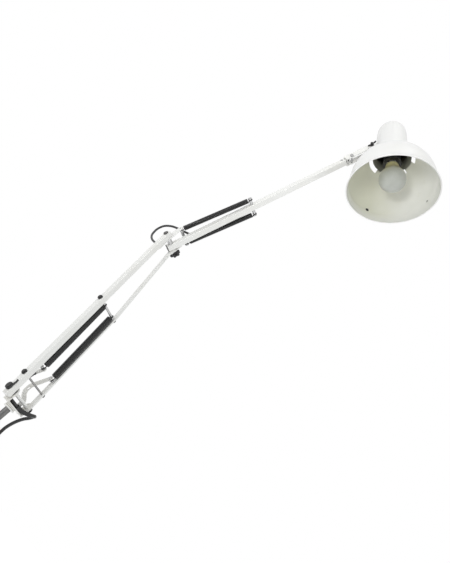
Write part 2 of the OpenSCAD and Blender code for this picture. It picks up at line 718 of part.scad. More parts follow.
// Head fork: a stem in the tube's end and a strap bent into two long cheeks
module fork_cheek_outline() {
    polygon([[-7, fork_base], [7, fork_base], [7, 30], [6, fork_len], [-6, fork_len], [-7, 30]]);
    translate([0, fork_len]) circle(r = 6);
}
module head_fork() {
    color("white") fork_frame() difference() {
        union() {
            rotate_extrude() polygon([[0, -12], [stem_d / 2, -12], [stem_d / 2, -1.8], [groove_r, -1.8],
                [groove_r, 1.8], [stem_d / 2, 1.8], [stem_d / 2, fork_base + eps], [0, fork_base + eps]]);
            translate([-7, -fork_w / 2 - fork_t, fork_base]) cube([14, fork_w + 2 * fork_t, fork_t]);
            for (s = [0, 1]) mirror([0, s, 0]) translate([0, fork_w / 2 + fork_t, 0]) rotate([90, 0, 0])
                linear_extrude(fork_t) fork_cheek_outline();
        }
        translate([0, 0, -13]) cylinder(d = lead_d + 0.6, h = fork_base + fork_t + 14);
        translate([0, 0, fork_len]) rod_y(pivot_d, -fork_w, fork_w);
        translate([3, 0, 25]) rod_y(4, -fork_w, fork_w);
    }
}
module swivel_washer() {
    color("black") fork_frame() translate([0, 0, upper_end + run_gap]) difference() {
        cylinder(d = 15, h = fork_base - upper_end - run_gap);
        translate([0, 0, -1]) cylinder(d = stem_d, h = 4);
    }
}
module fork_pin() {
    half = fork_w / 2 + fork_t;
    color("gray") fork_frame() translate([3, 0, 25]) union() {
        rod_y(4, -half - eps, half + eps);
        rod_y(7.5, -half - 3.5, -half);
        rod_y(7.5, half, half + 1.5);
    }
}
module tilt_bolt() {
    half = fork_w / 2 + fork_t;
    color("silver") fork_frame() translate([0, 0, fork_len]) union() {
        rod_y(pivot_d, -half - run_gap - 7, half + eps);
        rod_y(10, half, half + 3.6);
    }
}
// Wing knob: a hub and two thin wings
module wing_knob() {
    y0 = fork_w / 2 + fork_t + run_gap;
    color("black") fork_frame() translate([0, 0, fork_len]) rotate([0, -15, 0]) difference() {
        union() {
            rod_y(10, -y0 - 8, -y0);
            translate([-1.4, -y0 - 9, -10]) cube([2.8, 6, 20]);
            for (s = [-1, 1]) translate([-1.4, -y0 - 6, 10 * s]) rotate([0, 90, 0]) cylinder(r = 3, h = 2.8);
        }
        rod_y(pivot_d + 2 * fit, -y0 - 7.2, -y0 + 1);
    }
}

// Shade bracket: a small U riveted to the neck, its lugs between the fork's cheeks
module shade_bracket() {
    depth = neck_offset - cup_r;
    color("white") head_frame() difference() {
        union() {
            for (s = [0, 1]) mirror([0, s, 0]) translate([0, lug_out, 0]) rotate([90, 0, 0]) linear_extrude(lug_t) {
                circle(r = lug_r);
                translate([0, -lug_r]) square([depth + 2, 2 * lug_r]);
                translate([depth - 2, -13]) square([4, 26]);
            }
            translate([depth - 2, -lug_out, -13]) cube([4, 2 * lug_out, 26]);
        }
        translate([neck_offset, 0, -30]) cylinder(r = cup_r + bracket_seat, h = 60, $fn = 96);
        rod_y(pivot_d + 2 * fit, -20, 20);
        for (z = [-9, 9]) translate([0, 0, z]) rotate([0, 90, 0]) cylinder(d = 3, h = 30);
    }
}

// Shade: rim flare, dome, fillet, neck cup and rounded crown, as one spun sheet
function dome_r(h) = dome_d / 2 * sqrt(max(0, 1 - pow((h - flare_h) / dome_h, 2)));
function wall_profile(inset) =
    let (meet = flare_h + dome_h * sqrt(1 - pow((cup_r + fillet_r * 0.8) / (dome_d / 2), 2)),
        start = meet + fillet_r * 1.1)
    concat([[rim_d / 2 - inset, 0]],
    [for (k = [0:3:84]) let (h = flare_h + dome_h * sin(k)) if (h < meet) [dome_r(h) - inset * cos(k),
        h - inset * sin(k)]],
    [for (k = [0:15:90]) let (c = cup_r + fillet_r) [c - fillet_r * sin(k) * 0.999 - inset,
        start - fillet_r * cos(k) - inset * (1 - sin(k))]],
    [for (k = [0:10:90]) [cup_r - crown_r + crown_r * cos(k) - inset * cos(k),
        shade_h - crown_r + crown_r * sin(k) - inset * sin(k)]],
    [[0, shade_h - inset]]);
module shade() {
    outer = wall_profile(0);
    inner = wall_profile(shade_t);
    color("whitesmoke") shade_frame() difference() {
        union() {
            rotate_extrude($fn = 96) polygon(concat(outer, [for (i = [len(inner) - 1:-1:0]) inner[i]]));
            rotate_extrude($fn = 96) translate([rim_d / 2 - 0.6, 1.2]) circle(r = 1.6, $fn = 20);
        }
        for (a = [0:90:270]) rotate([0, 0, a + vent_turn]) vent();
        for (z = [-9, 9]) translate([-cup_r - 2, 0, tilt_height + z]) rotate([0, 90, 0]) cylinder(d = 3, h = 4);
        rotate([0, 0, -lead_side]) translate([-cup_r - 2, 0, lead_in]) rotate([0, 90, 0])
            cylinder(d = lead_d + 2, h = 4);
        translate([0, 0, shade_h - 4]) cylinder(d = switch_d, h = 8);
        for (a = shade_rivet_at) rotate([0, 0, a]) translate([dome_r(shade_rivet_h) - 7, 0, shade_rivet_h])
            rotate([0, 90, 0]) cylinder(d = 4, h = 12);
    }
}
// An arc slot through the shoulder of the dome
module vent() {
    intersection() {
        translate([0, 0, dome_top - 30]) difference() {
            cylinder(r = vent_r + vent_w / 2, h = 30);
            translate([0, 0, -1]) cylinder(r = vent_r - vent_w / 2, h = 32);
        }
        rotate([0, 0, -vent_span / 2]) translate([0, 0, dome_top - 31]) rotate_extrude(angle = vent_span)
            translate([vent_r - vent_w, 0]) square([2 * vent_w, 33]);
    }
}
// Rivets of the neck bracket, and the pair in the dome's side
module shade_rivets() {
    depth = neck_offset - cup_r;
    color("gray") head_frame() for (z = [-9, 9]) translate([0, 0, z]) rotate([0, 90, 0]) union() {
        translate([0, 0, depth - 3]) cylinder(d = 5, h = 1 + eps);
        translate([0, 0, depth - 2]) cylinder(d = 3, h = 2 + shade_t + 1);
        translate([0, 0, depth + shade_t + 0.15]) cylinder(d = 5, h = 1);
    }
    color("gray") shade_frame() for (a = shade_rivet_at) rotate([0, 0, a]) {
        r = dome_r(shade_rivet_h);
        translate([r - shade_t - 1.2, 0, shade_rivet_h]) rotate([0, 90, 0]) cylinder(d = 6, h = 1.2);
        translate([r - shade_t - 0.2, 0, shade_rivet_h]) rotate([0, 90, 0]) cylinder(d = 4, h = shade_t + 0.2);
        translate([r, 0, shade_rivet_h]) rotate([0, 90, 0]) cylinder(d = 6, h = 1);
    }
}
module neck_grommet() {
    color("black") shade_frame() rotate([0, 0, -lead_side]) translate([-cup_r, 0, lead_in]) rotate([0, -90, 0])
        difference() {
        union() {
            translate([0, 0, -shade_t - 1]) cylinder(d = lead_d + 1.9, h = shade_t + 1.2);
            translate([0, 0, 0.1]) cylinder(d = lead_d + 4, h = 1.8);
        }
        translate([0, 0, -4]) cylinder(d = lead_d - 1, h = 8);
    }
}
module head_lead() {
    from = in_fork([0, 0, fork_base + fork_t + 0.6]);
    out = in_fork([0, 0, fork_base + fork_t + 5]);
    reach = [-cos(lead_side), sin(lead_side)];
    rise = lead_in - tilt_height;
    port = in_head([neck_offset + (cup_r + 1.9) * reach.x, (cup_r + 1.9) * reach.y, rise]);
    near = in_head([neck_offset + (cup_r + 7) * reach.x, (cup_r + 7) * reach.y, rise]);
    middle = [for (p = head_lead_route) in_fork(p)];
    color("black") sweep(smooth(concat(stub(from, out), middle, stub(near, port)), 3), lead_d, 8);
}

// Lampholder, its bridge and the bulb
module holder_bridge() {
    w = 2 * (cup_r - shade_t);
    color("silver") shade_frame() difference() {
        intersection() {
            union() {
                translate([-7, -w / 2, bridge_z]) cube([14, w, 1.6]);
                for (s = [0, 1]) mirror([0, s, 0]) translate([-7, w / 2 - 1.6, bridge_z]) cube([14, 1.6, 8]);
            }
            translate([0, 0, bridge_z - 1]) cylinder(r = cup_r - shade_t, h = 20);
        }
        translate([0, 0, bridge_z - 1]) cylinder(d = 10, h = 4);
    }
}
module lampholder() {
    color("black") shade_frame() difference() {
        union() {
            translate([0, 0, holder_z]) cylinder(d = holder_d, h = 30);
            translate([0, 0, holder_z - 1.5]) cylinder(d = holder_d + 3, h = 3);
            translate([0, 0, holder_z + 30 - eps]) cylinder(d1 = holder_d - 2, d2 = 24, h = 20, $fn = 64);
            translate([0, 0, bridge_z - eps]) cylinder(d = 10, h = 5);
        }
        translate([0, 0, holder_z - 2]) cylinder(d = cap_d, h = 26);
        translate([0, 0, bridge_z - 12]) cylinder(d = 6, h = 30);
    }
}
module bulb_cap() {
    color("silver") shade_frame() rotate_extrude() polygon([[0, cap_top], [5, cap_top], [6, cap_top - 3],
        [cap_d / 2 - 1, cap_top - 5], [cap_d / 2, cap_top - 6], [cap_d / 2, cap_top - 27], [0, cap_top - 27]]);
}
// Pear-shaped glass: a ball, a neck that draws in to the cap
module bulb_glass() {
    r = bulb_d / 2;
    join = cap_top - 27;
    color("floralwhite") shade_frame() rotate_extrude($fn = 64) polygon(concat(
        [for (a = [-90:6:48]) [r * cos(a), bulb_at + r * sin(a)]],
        [for (u = [0.2:0.2:1]) let (z0 = bulb_at + r * sin(48), x0 = r * cos(48))
            [x0 + (cap_d / 2 - 0.4 - x0) * (2 * u - u * u), z0 + (join - z0) * u]],
        [[0, join]]));
}

// Push switch in the crown of the neck cup
module switch_body() {
    color("black") shade_frame() difference() {
        union() {
            translate([0, 0, shade_h - 16]) cylinder(d = switch_d, h = 20);
            translate([0, 0, shade_h]) cylinder(d = switch_d + 5, h = 2);
            translate([0, 0, shade_h - shade_t - 2]) cylinder(d = switch_d + 5, h = 2);
            translate([0, 0, shade_h - 30]) cylinder(d = switch_d + 7, h = 15);
        }
        translate([0, 0, shade_h - 6]) cylinder(d = button_d + 2 * fit, h = 20);
    }
}
module switch_button() {
    top = shade_h + 4 + switch_travel + 1;
    color("black") shade_frame() translate([0, 0, shade_h - 6 + switch_travel]) rotate_extrude()
        polygon([[0, 0], [button_d / 2, 0], [button_d / 2, top - shade_h + 5 - switch_travel],
            [button_d / 2 - 1, top - shade_h + 6 - switch_travel], [0, top - shade_h + 6 - switch_travel]]);
}

// Mains cord: free run, tied hank, tie and plug
// Each loop has 24 rings: 7 round each fold and 5 down each run. It winds in, then out again on top
function fold_angle(f) = f < 3.5 ? 90 - f * 180 / 7 : f < 8.5 ? 0 : f < 15.5 ? (8.5 - f) * 180 / 7
    : f < 20.5 ? -180 : -180 - (f - 20.5) * 180 / 7;
function run_share(f) = f < 3.5 ? 1 : f < 8.5 ? 1 - (f - 3.5) / 2.5 : f < 15.5 ? -1
    : f < 20.5 ? -1 + (f - 15.5) / 2.5 : 1;
function hank_at(u) = let (half = hank_loops / 2, inward = u < half ? u : hank_loops - u,
    r = hank_r - hank_step * inward, s = min(1, max(0, (u - half + 0.25) / 0.5)), f = (6 + 24 * u) % 24,
    a = fold_angle(f))
    [r * cos(a), hank_layer * s, hank_run * run_share(f) + r * sin(a)];
module mains_cord() {
    p = smooth(mains_route, 3);
    echo("mains run", length(p));
    color("black") sweep(p, cord_d, 10);
}
module cord_hank() {
    p = concat([[hank_r, 0, hank_run], [hank_r, 0, hank_run / 2]],
        [for (k = [0:24 * hank_loops]) hank_at(k / 24)],
        [[hank_r, hank_layer, -hank_run / 2], [hank_r, hank_layer, -hank_run]]);
    echo("hank", length(p), "least gap", least_gap(p, cord_d, 12));
    color("black") translate(hank_place) sweep(p, cord_d, 6);
}
module plug_lead() {
    p = smooth(plug_lead_route, 3);
    echo("plug lead", length(p));
    color("black") sweep(p, cord_d, 10);
}
// Rectangle with rounded corners, made of exact pieces
module round_rect(w, h, r) {
    square([w, h - 2 * r], center = true);
    square([w - 2 * r, h], center = true);
    for (sx = [-1, 1], sy = [-1, 1]) translate([sx * (w / 2 - r), sy * (h / 2 - r)]) circle(r = r, $fn = 32);
}
// Flat strap round the hank's left run, its end folded back over it
module cord_tie() {
    w = hank_step * (hank_loops / 2 - 0.5) + cord_d + 2 * run_gap;
    h = cord_d + hank_layer + 2 * run_gap;
    middle = hank_r - hank_step * hank_loops / 4;
    color("dimgray") translate(hank_place + [-middle, hank_layer / 2, -5]) union() {
        linear_extrude(10) difference() {
            round_rect(w + 2.4, h + 2.4, 4.5);
            round_rect(w, h, 3.3);
        }
        translate([-w / 2 + 4, -h / 2 - 2.6, 0]) cube([15, 1.45, 10]);
    }
}
// Flat two-pin plug hanging beside the hank
module plug_outline() {
    polygon([[-4.5, 0], [4.5, 0], [6, -8], [17.5, -18], [17.5, -34], [15.5, -36], [-15.5, -36], [-17.5, -34],
        [-17.5, -18], [-6, -8]]);
}
module plug_body() {
    end = plug_lead_route[len(plug_lead_route) - 1];
    color("black") translate(end) difference() {
        union() {
            intersection() {
                translate([-8, 0, 0]) rotate([90, 0, 90]) linear_extrude(16) plug_outline();
                translate([0, 20, 0]) rotate([90, 0, 0]) linear_extrude(40)
                    polygon([[-4.2, 0], [4.2, 0], [6.85, -14], [6.85, -36], [-6.85, -36], [-6.85, -14]]);
            }
            for (y = [-9.3, 9.3]) translate([0, y, -46]) cylinder(d = 4, h = 10 + eps);
        }
        for (y = [-9.3, 9.3]) translate([0, y, -47]) cylinder(d = 3, h = 21);
    }
}
module plug_pins() {
    end = plug_lead_route[len(plug_lead_route) - 1];
    color("silver") translate(end) for (y = [-9.3, 9.3]) translate([0, y, 0]) rotate_extrude() polygon(
        [[0, -26], [1.5, -26], [1.5, -46], [2, -46], [2, -54], [1.2, -55], [0, -55]]);
}

spigot();
base_flange();
retaining_collar();
base_yoke();
spring_bracket();
spring_studs();
pivot_bolt();
pivot_cap();
lever_knob();
cord_clip();
lower_tube();
lower_tube_plug();
lower_bar();
pivot_washers();
tie_rod();
spring_bar();
rod_caps();
lower_spring_left();
lower_spring_right();
base_lead();
lower_grommets();
lower_core();
elbow_plate_left();
elbow_plate_right();
elbow_rivets();
elbow_bolt();
elbow_spacer();
star_knob();
upper_anchor_pin();
elbow_lead();
upper_tube();
upper_tube_plug();
upper_grommet();
upper_core();
upper_spring_pin();
upper_spring_left();
upper_spring_right();
swivel_screws();
head_fork();
swivel_washer();
fork_pin();
tilt_bolt();
wing_knob();
shade_bracket();
shade();
shade_rivets();
neck_grommet();
head_lead();
holder_bridge();
lampholder();
bulb_cap();
bulb_glass();
switch_body();
switch_button();
mains_cord();
cord_hank();
cord_tie();
plug_lead();
plug_body();
plug_pins();
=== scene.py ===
"""Balanced-arm spring lamp: the looks of its enamel, springs, knobs, cords and shade over its solids."""

import json
import logging
import math
from dataclasses import dataclass
from enum import Enum
from typing import Callable, ClassVar, Iterable, Sequence

import bmesh
import bpy
from mathutils import Matrix, Vector


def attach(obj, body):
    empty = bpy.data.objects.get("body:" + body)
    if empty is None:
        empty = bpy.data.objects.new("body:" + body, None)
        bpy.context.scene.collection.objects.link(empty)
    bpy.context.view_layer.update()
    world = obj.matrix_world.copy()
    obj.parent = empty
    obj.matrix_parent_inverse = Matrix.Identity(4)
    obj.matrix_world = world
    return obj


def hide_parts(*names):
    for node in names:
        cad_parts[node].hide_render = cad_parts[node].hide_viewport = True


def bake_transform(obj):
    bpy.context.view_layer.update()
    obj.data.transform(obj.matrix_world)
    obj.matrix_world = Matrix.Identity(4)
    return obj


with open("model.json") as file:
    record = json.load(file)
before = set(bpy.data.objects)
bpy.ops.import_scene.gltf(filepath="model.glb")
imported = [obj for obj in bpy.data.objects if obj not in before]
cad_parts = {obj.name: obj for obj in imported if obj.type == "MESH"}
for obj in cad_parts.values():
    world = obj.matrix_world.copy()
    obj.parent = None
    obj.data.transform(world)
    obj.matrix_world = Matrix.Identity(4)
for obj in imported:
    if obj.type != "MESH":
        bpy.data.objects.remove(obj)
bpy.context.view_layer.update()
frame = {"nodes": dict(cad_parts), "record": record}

log = logging.getLogger("lamp")
MM = 0.001
QUARTER = math.pi / 2
ON_AXIS = 1e-6
WELD = 1e-5
CORD_SIDES = 14
WIRE_SIDES = 8
Point = Sequence[float]


# Skeleton
def turn_y(degrees: float) -> Matrix:
    """Returns a turn about Y, as the arm pivots make it."""
    return Matrix.Rotation(math.radians(degrees), 4, "Y")


@dataclass(frozen=True)
class Skeleton:
    """Rest-pose points and frames of the mechanism, in millimetres, as the solids have them."""

    pivot: Point = (5.0, 0.0, 23.0)
    arm: float = 450.0
    lower_lean: float = 10.0
    upper_lean: float = 25.0
    fork: float = 84.0
    fork_face: float = 10.5
    head_turn: float = 17.0
    head_lean: float = 27.5
    neck_offset: float = 46.0
    tilt_height: float = 150.0
    spring_bar_at: float = 230.0
    stud: Point = (-3.5, 0.0, 83.5)
    anchor_at: Point = (7.0, 0.0, 489.0)
    upper_pin_at: float = 206.0

    @property
    def lower(self) -> Matrix:
        """Frame of the lower arm, its pivot at the origin and +Z along the arm."""
        return Matrix.Translation(Vector(self.pivot)) @ turn_y(-self.lower_lean)

    @property
    def elbow(self) -> Vector:
        """Centre of the elbow."""
        return self.lower @ Vector((0, 0, self.arm))

    @property
    def upper(self) -> Matrix:
        """Frame of the upper arm, the elbow at its origin."""
        return Matrix.Translation(self.elbow) @ turn_y(self.upper_lean)

    @property
    def turned(self) -> Matrix:
        """Turn of the head about the upper arm."""
        along = turn_y(self.upper_lean) @ Vector((0, 0, 1))
        return Matrix.Rotation(math.radians(self.head_turn), 4, along)

    @property
    def fork_frame(self) -> Matrix:
        """Frame of the fork, the end of the upper arm's pivot distance at its origin."""
        end = self.upper @ Vector((0, 0, self.arm))
        return Matrix.Translation(end) @ self.turned @ turn_y(self.upper_lean)

    @property
    def head(self) -> Matrix:
        """Frame of the lamp head, the tilt pivot at its origin and +Z up the shade's axis."""
        place = self.fork_frame @ Vector((0, 0, self.fork))
        return Matrix.Translation(place) @ self.turned @ turn_y(-self.head_lean)

    @property
    def shade(self) -> Matrix:
        """Frame of the shade, the middle of its rim at the origin."""
        return self.head @ Matrix.Translation((self.neck_offset, 0, -self.tilt_height))


BONES = Skeleton()


# Shader tools
@dataclass(frozen=True)
class Wire:
    """A number socket in a node tree whose Python operators add Math nodes."""

    tree: "Tree"
    socket: bpy.types.NodeSocket

    def _math(self, operation: str, a: object, b: object, clamp: bool = False) -> "Wire":
        """Adds one Math node.

        Args:
            operation: the Math node's operation.
            a: first value or wire.
            b: second value or wire.
            clamp: whether the result is kept from 0 to 1.

        Returns:
            The result as a wire.
        """
        node = self.tree.add("ShaderNodeMath", {"operation": operation, "use_clamp": clamp}, {0: a, 1: b})
        return Wire(self.tree, node.outputs[0])

    def __add__(self, other: object) -> "Wire":
        """Sum."""
        return self._math("ADD", self, other)

    def __radd__(self, other: object) -> "Wire":
        """Sum, reflected."""
        return self._math("ADD", other, self)

    def __sub__(self, other: object) -> "Wire":
        """Difference."""
        return self._math("SUBTRACT", self, other)

    def __mul__(self, other: object) -> "Wire":
        """Product."""
        return self._math("MULTIPLY", self, other)

    def clamped(self) -> "Wire":
        """Keeps the value from 0 to 1."""
        return self._math("ADD", self, 0.0, clamp=True)

    def above(self, low: float, high: float) -> "Wire":
        """Rises smoothly from 0 at low to 1 at high.

        Args:
            low: value that gives 0.
            high: value that gives 1.

        Returns:
            The mask as a wire.
        """
        settings = {"interpolation_type": "SMOOTHSTEP"}
        inputs = {"Value": self, "From Min": low, "From Max": high, "To Min": 0.0, "To Max": 1.0}
        return Wire(self.tree, self.tree.add("ShaderNodeMapRange", settings, inputs).outputs[0])


class Tree:
    """A node tree that takes each node with its settings and inputs at once."""

    def __init__(self, tree: bpy.types.NodeTree) -> None:
        """Wraps a node tree and empties it.

        Args:
            tree: the tree that takes the nodes.
        """
        self.tree = tree
        self.tree.nodes.clear()

    def add(self, kind: str, settings: dict | None = None, inputs: dict | None = None) -> bpy.types.Node:
        """Adds a node.

        Args:
            kind: the node's type.
            settings: its properties, set first.
            inputs: values, sockets or wires by input name or index.

        Returns:
            The node.
        """
        node = self.tree.nodes.new(kind)
        for key, value in (settings or {}).items():
            setattr(node, key, value)
        for key, value in (inputs or {}).items():
            if isinstance(value, Wire):
                self.tree.links.new(value.socket, node.inputs[key])
            elif isinstance(value, bpy.types.NodeSocket):
                self.tree.links.new(value, node.inputs[key])
            elif value is not None:
                node.inputs[key].default_value = value
        return node

    def straight_rays(self) -> bpy.types.NodeSocket:
        """A socket that is 1 for the camera, glossy and transmission rays, which show the background."""
        rays = self.add("ShaderNodeLightPath").outputs
        seen = rays["Is Camera Ray"]
        for kind in ("Is Glossy Ray", "Is Transmission Ray"):
            seen = self.add("ShaderNodeMath", {"operation": "MAXIMUM"}, {0: seen, 1: rays[kind]}).outputs[0]
        return seen


class Ink(Tree):
    """Builds one material's node tree."""

    def __init__(self, name: str) -> None:
        """Starts an empty material.

        Args:
            name: the material's name.
        """
        self.material = bpy.data.materials.new(name)
        self.material.use_nodes = True
        super().__init__(self.material.node_tree)
        self.out = self.tree.nodes.new("ShaderNodeOutputMaterial")
        self.place = self.add("ShaderNodeTexCoord").outputs["Object"]

    def noise(self, scale: float, detail: float = 3.0, rough: float = 0.55, at: object = None) -> Wire:
        """Fractal noise from 0 to 1.

        Args:
            scale: waves per metre.
            detail: octaves.
            rough: weight of the finer octaves.
            at: coordinates, the object's own when left out.

        Returns:
            The noise as a wire.
        """
        inputs = {"Vector": at or self.place, "Scale": scale, "Detail": detail, "Roughness": rough}
        return Wire(self, self.add("ShaderNodeTexNoise", None, inputs).outputs["Fac"])

    def cells(self, scale: float) -> Wire:
        """Distance from the middle of the nearest cell, with so many cells per metre."""
        inputs = {"Vector": self.place, "Scale": scale}
        return Wire(self, self.add("ShaderNodeTexVoronoi", {"feature": "F1"}, inputs).outputs["Distance"])

    def along(self, start: Point, axis: Vector) -> Wire:
        """Distance from a place along an axis, times the axis's own length.

        Args:
            start: where it is 0.
            axis: the direction.

        Returns:
            The distance as a wire.
        """
        far = self.add("ShaderNodeVectorMath", {"operation": "SUBTRACT"}, {0: self.place, 1: list(start)})
        inputs = {0: far.outputs[0], 1: list(axis)}
        dot = self.add("ShaderNodeVectorMath", {"operation": "DOT_PRODUCT"}, inputs)
        return Wire(self, dot.outputs["Value"])

    def rise(self, start: Point, end: Point) -> Wire:
        """Share of the way: 0 at the first place and 1 at the second."""
        way = Vector(end) - Vector(start)
        return self.along(start, way / way.length_squared)

    def stretched(self, squeeze: Point, turn: Point = (0.0, 0.0, 0.0)) -> bpy.types.NodeSocket:
        """Object coordinates turned, then scaled by axis, for brushing, drawing lines and streaks.

        Args:
            squeeze: scale by axis.
            turn: angles in degrees.

        Returns:
            The coordinates' socket.
        """
        angles = [math.radians(a) for a in turn]
        turned = self.add("ShaderNodeVectorRotate", {"rotation_type": "EULER_XYZ"},
                          {"Vector": self.place, "Rotation": angles}).outputs[0]
        return self.add("ShaderNodeVectorMath", {"operation": "MULTIPLY"}, {0: turned, 1: squeeze}).outputs[0]

    def mix(self, share: object, a: object, b: object) -> bpy.types.NodeSocket:
        """Mixes two colours.

        Args:
            share: how much of the second, a number or wire.
            a: first colour, as four numbers or a socket.
            b: second colour.

        Returns:
            The colour's socket.
        """
        settings = {"data_type": "RGBA", "clamp_factor": True}
        return self.add("ShaderNodeMix", settings, {0: share, 6: a, 7: b}).outputs[2]

    def bump(self, height: Wire, depth: float, strength: float, over: object = None) -> bpy.types.NodeSocket:
        """A bump of a given depth.

        Args:
            height: the relief from 0 to 1.
            depth: its height in metres.
            strength: its weight.
            over: a normal to add it to.

        Returns:
            The normal's socket.
        """
        inputs = {"Strength": strength, "Distance": depth, "Height": height, "Normal": over}
        return self.add("ShaderNodeBump", None, inputs).outputs[0]

    def soft_edges(self, radius: float) -> bpy.types.NodeSocket:
        """Normal that rounds sharp edges as tumbling or moulding does.

        Args:
            radius: in metres.

        Returns:
            The normal's socket.
        """
        return self.add("ShaderNodeBevel", {"samples": 4}, {"Radius": radius}).outputs[0]

    def finish(self, **sockets: object) -> bpy.types.Material:
        """Adds the Principled shader and the output.

        Args:
            sockets: values or links, named as the shader's inputs with underscores for spaces.

        Returns:
            The material.
        """
        inputs = {key.replace("_", " "): value for key, value in sockets.items()}
        shader = self.add("ShaderNodeBsdfPrincipled", None, inputs)
        self.tree.links.new(shader.outputs[0], self.out.inputs[0])
        return self.material


Colour = tuple[float, float, float, float]


def grey(level: float, warm: float = 0.0) -> Colour:
    """A grey, warmer for a positive second value.

    Args:
        level: its linear level.
        warm: how much red is added and blue taken away.

    Returns:
        The colour with full alpha.
    """
    return (level * (1 + warm), level, level * (1 - warm), 1.0)


# Finishes
@dataclass(frozen=True)
class Enamel:
    """Stoved enamel on steel, with faint orange peel, handling marks and specks of dust."""

    name: str
    body: Colour
    aged: Colour
    gloss: float = 0.3
    peel: float = 0.00002
    grime: float = 0.12

    def build(self) -> bpy.types.Material:
        """Makes the material."""
        ink = Ink(self.name)
        clouds = ink.noise(14.0, 4.0).above(0.42, 0.72)
        smears = ink.noise(55.0, 5.0, 0.7).above(0.55, 0.8)
        specks = ink.cells(900.0).above(0.10, 0.03) * ink.noise(160.0, 2.0).above(0.55, 0.65)
        tone = ink.mix(clouds * 0.45 + smears * 0.15, self.body, self.aged)
        tone = ink.mix(specks * self.grime, tone, grey(0.16, 0.12))
        rough = self.gloss + clouds * 0.10 + smears * 0.10 + specks * 0.2
        peel = ink.noise(2600.0, 1.0)
        normal = ink.bump(peel, self.peel, 0.5, ink.soft_edges(0.0005))
        return ink.finish(Base_Color=tone, Roughness=rough.clamped(), Normal=normal, Coat_Weight=0.35,
                          Coat_Roughness=0.12, IOR=1.5)


@dataclass(frozen=True)
class ShadeLining:
    """Duller enamel inside the shade, browned by the bulb's heat towards the neck, with painted shade on the
    arm's side, near the rim, at the neck's entry and deep in the cup.
    """

    name: str
    body: Colour
    # Heat-browned tone, also used as the colour of the painted shade on the arm's side.
    baked_and_shade: Colour
    neck: Point
    mouth: Point
    # Painted shade: a darker grey that evens out the bright band of lining near the rim.
    mouth_shade_tone: Colour = (0.60, 0.60, 0.555, 1.0)
    # Painted shade: a grey for the neck's entry and a near black deep in the cup, where shade falls.
    neck_shade_tone: Colour = (0.20, 0.20, 0.165, 1.0)
    deep_shade_tone: Colour = (0.035, 0.032, 0.02, 1.0)
    shaded_side: Point = (-1.0, 0.0, 0.0)
    reach: float = 0.1

    def build(self) -> bpy.types.Material:
        """Makes the material."""
        ink = Ink(self.name)
        height = ink.rise(self.mouth, self.neck)
        heat = (height + (ink.noise(30.0, 4.0) - 0.5) * 0.18).above(0.45, 1.05)
        stains = ink.noise(48.0, 5.0, 0.65).above(0.56, 0.74)
        specks = ink.cells(700.0).above(0.12, 0.04) * ink.noise(120.0, 2.0).above(0.52, 0.62)
        tone = ink.mix(heat * 0.6, self.body, self.baked_and_shade)
        tone = ink.mix(stains * 0.22, tone, self.baked_and_shade)
        tone = ink.mix(specks * 0.55, tone, grey(0.10, 0.15))
        # Painted shade: the lining is painted darker on the side towards the arm, where less light falls.
        aside = ink.along(self.mouth, Vector(self.shaded_side) / self.reach)
        side_shade = (aside + (ink.noise(22.0, 3.0) - 0.5) * 0.4).above(-0.2, 0.8)
        tone = ink.mix(side_shade * 0.8, tone, self.baked_and_shade)
        # Painted shade: darker towards the rim, where the lining catches the lamps directly.
        tone = ink.mix(height.above(0.2, 0.02) * 0.8, tone, self.mouth_shade_tone)
        # Painted shade: the lining turns dark grey at the neck's entry and near black deep in the cup.
        tone = ink.mix(height.above(0.825, 0.85), tone, self.neck_shade_tone)
        tone = ink.mix(height.above(0.93, 1.02), tone, self.deep_shade_tone)
        normal = ink.bump(ink.noise(1900.0, 1.0), 0.00002, 0.5)
        return ink.finish(Base_Color=tone, Roughness=(0.36 + stains * 0.12 + heat * 0.08).clamped(),
                          Normal=normal, Coat_Weight=0.25, Coat_Roughness=0.2, IOR=1.5)


@dataclass(frozen=True)
class DrawnSteel:
    """Bare or plated steel with fine marks along one direction."""

    name: str
    body: Colour
    worn: Colour
    rough: float = 0.3
    along: Point = (1.0, 0.04, 1.0)
    turn: Point = (0.0, 0.0, 0.0)
    relief: float = 0.000012

    def build(self) -> bpy.types.Material:
        """Makes the material."""
        ink = Ink(self.name)
        lines = ink.noise(2400.0, 2.0, 0.6, ink.stretched(self.along, self.turn))
        blotch = ink.noise(90.0, 4.0, 0.6).above(0.4, 0.75)
        pits = ink.cells(1500.0).above(0.16, 0.05) * ink.noise(220.0, 2.0).above(0.5, 0.62)
        tone = ink.mix(blotch, self.body, self.worn)
        tone = ink.mix(pits * 0.6, tone, grey(0.05, 0.2))
        rough = self.rough + lines * 0.12 + blotch * 0.1 + pits * 0.25
        normal = ink.bump(lines, self.relief, 0.7, ink.soft_edges(0.0004))
        return ink.finish(Base_Color=tone, Metallic=1.0, Roughness=rough.clamped(), Normal=normal)


@dataclass(frozen=True)
class Moulding:
    """Moulded black plastic or rubber with a fine spark-eroded grain and pale scuffs."""

    name: str
    body: Colour
    scuff: Colour
    rough: float = 0.42
    grain: float = 0.00003
    radius: float = 0.0006

    def build(self) -> bpy.types.Material:
        """Makes the material."""
        ink = Ink(self.name)
        grain = ink.noise(5200.0, 2.0, 0.6)
        dust = ink.noise(70.0, 5.0, 0.65).above(0.5, 0.8)
        slanted = ink.stretched((1.0, 1.0, 0.12), (30.0, 20.0, 0.0))
        marks = ink.noise(900.0, 3.0, 0.7, slanted).above(0.66, 0.74)
        tone = ink.mix(dust * 0.35 + marks * 0.4, self.body, self.scuff)
        rough = self.rough + dust * 0.14 - marks * 0.08
        normal = ink.bump(grain, self.grain, 0.5, ink.soft_edges(self.radius))
        return ink.finish(Base_Color=tone, Roughness=rough.clamped(), Normal=normal, IOR=1.49)


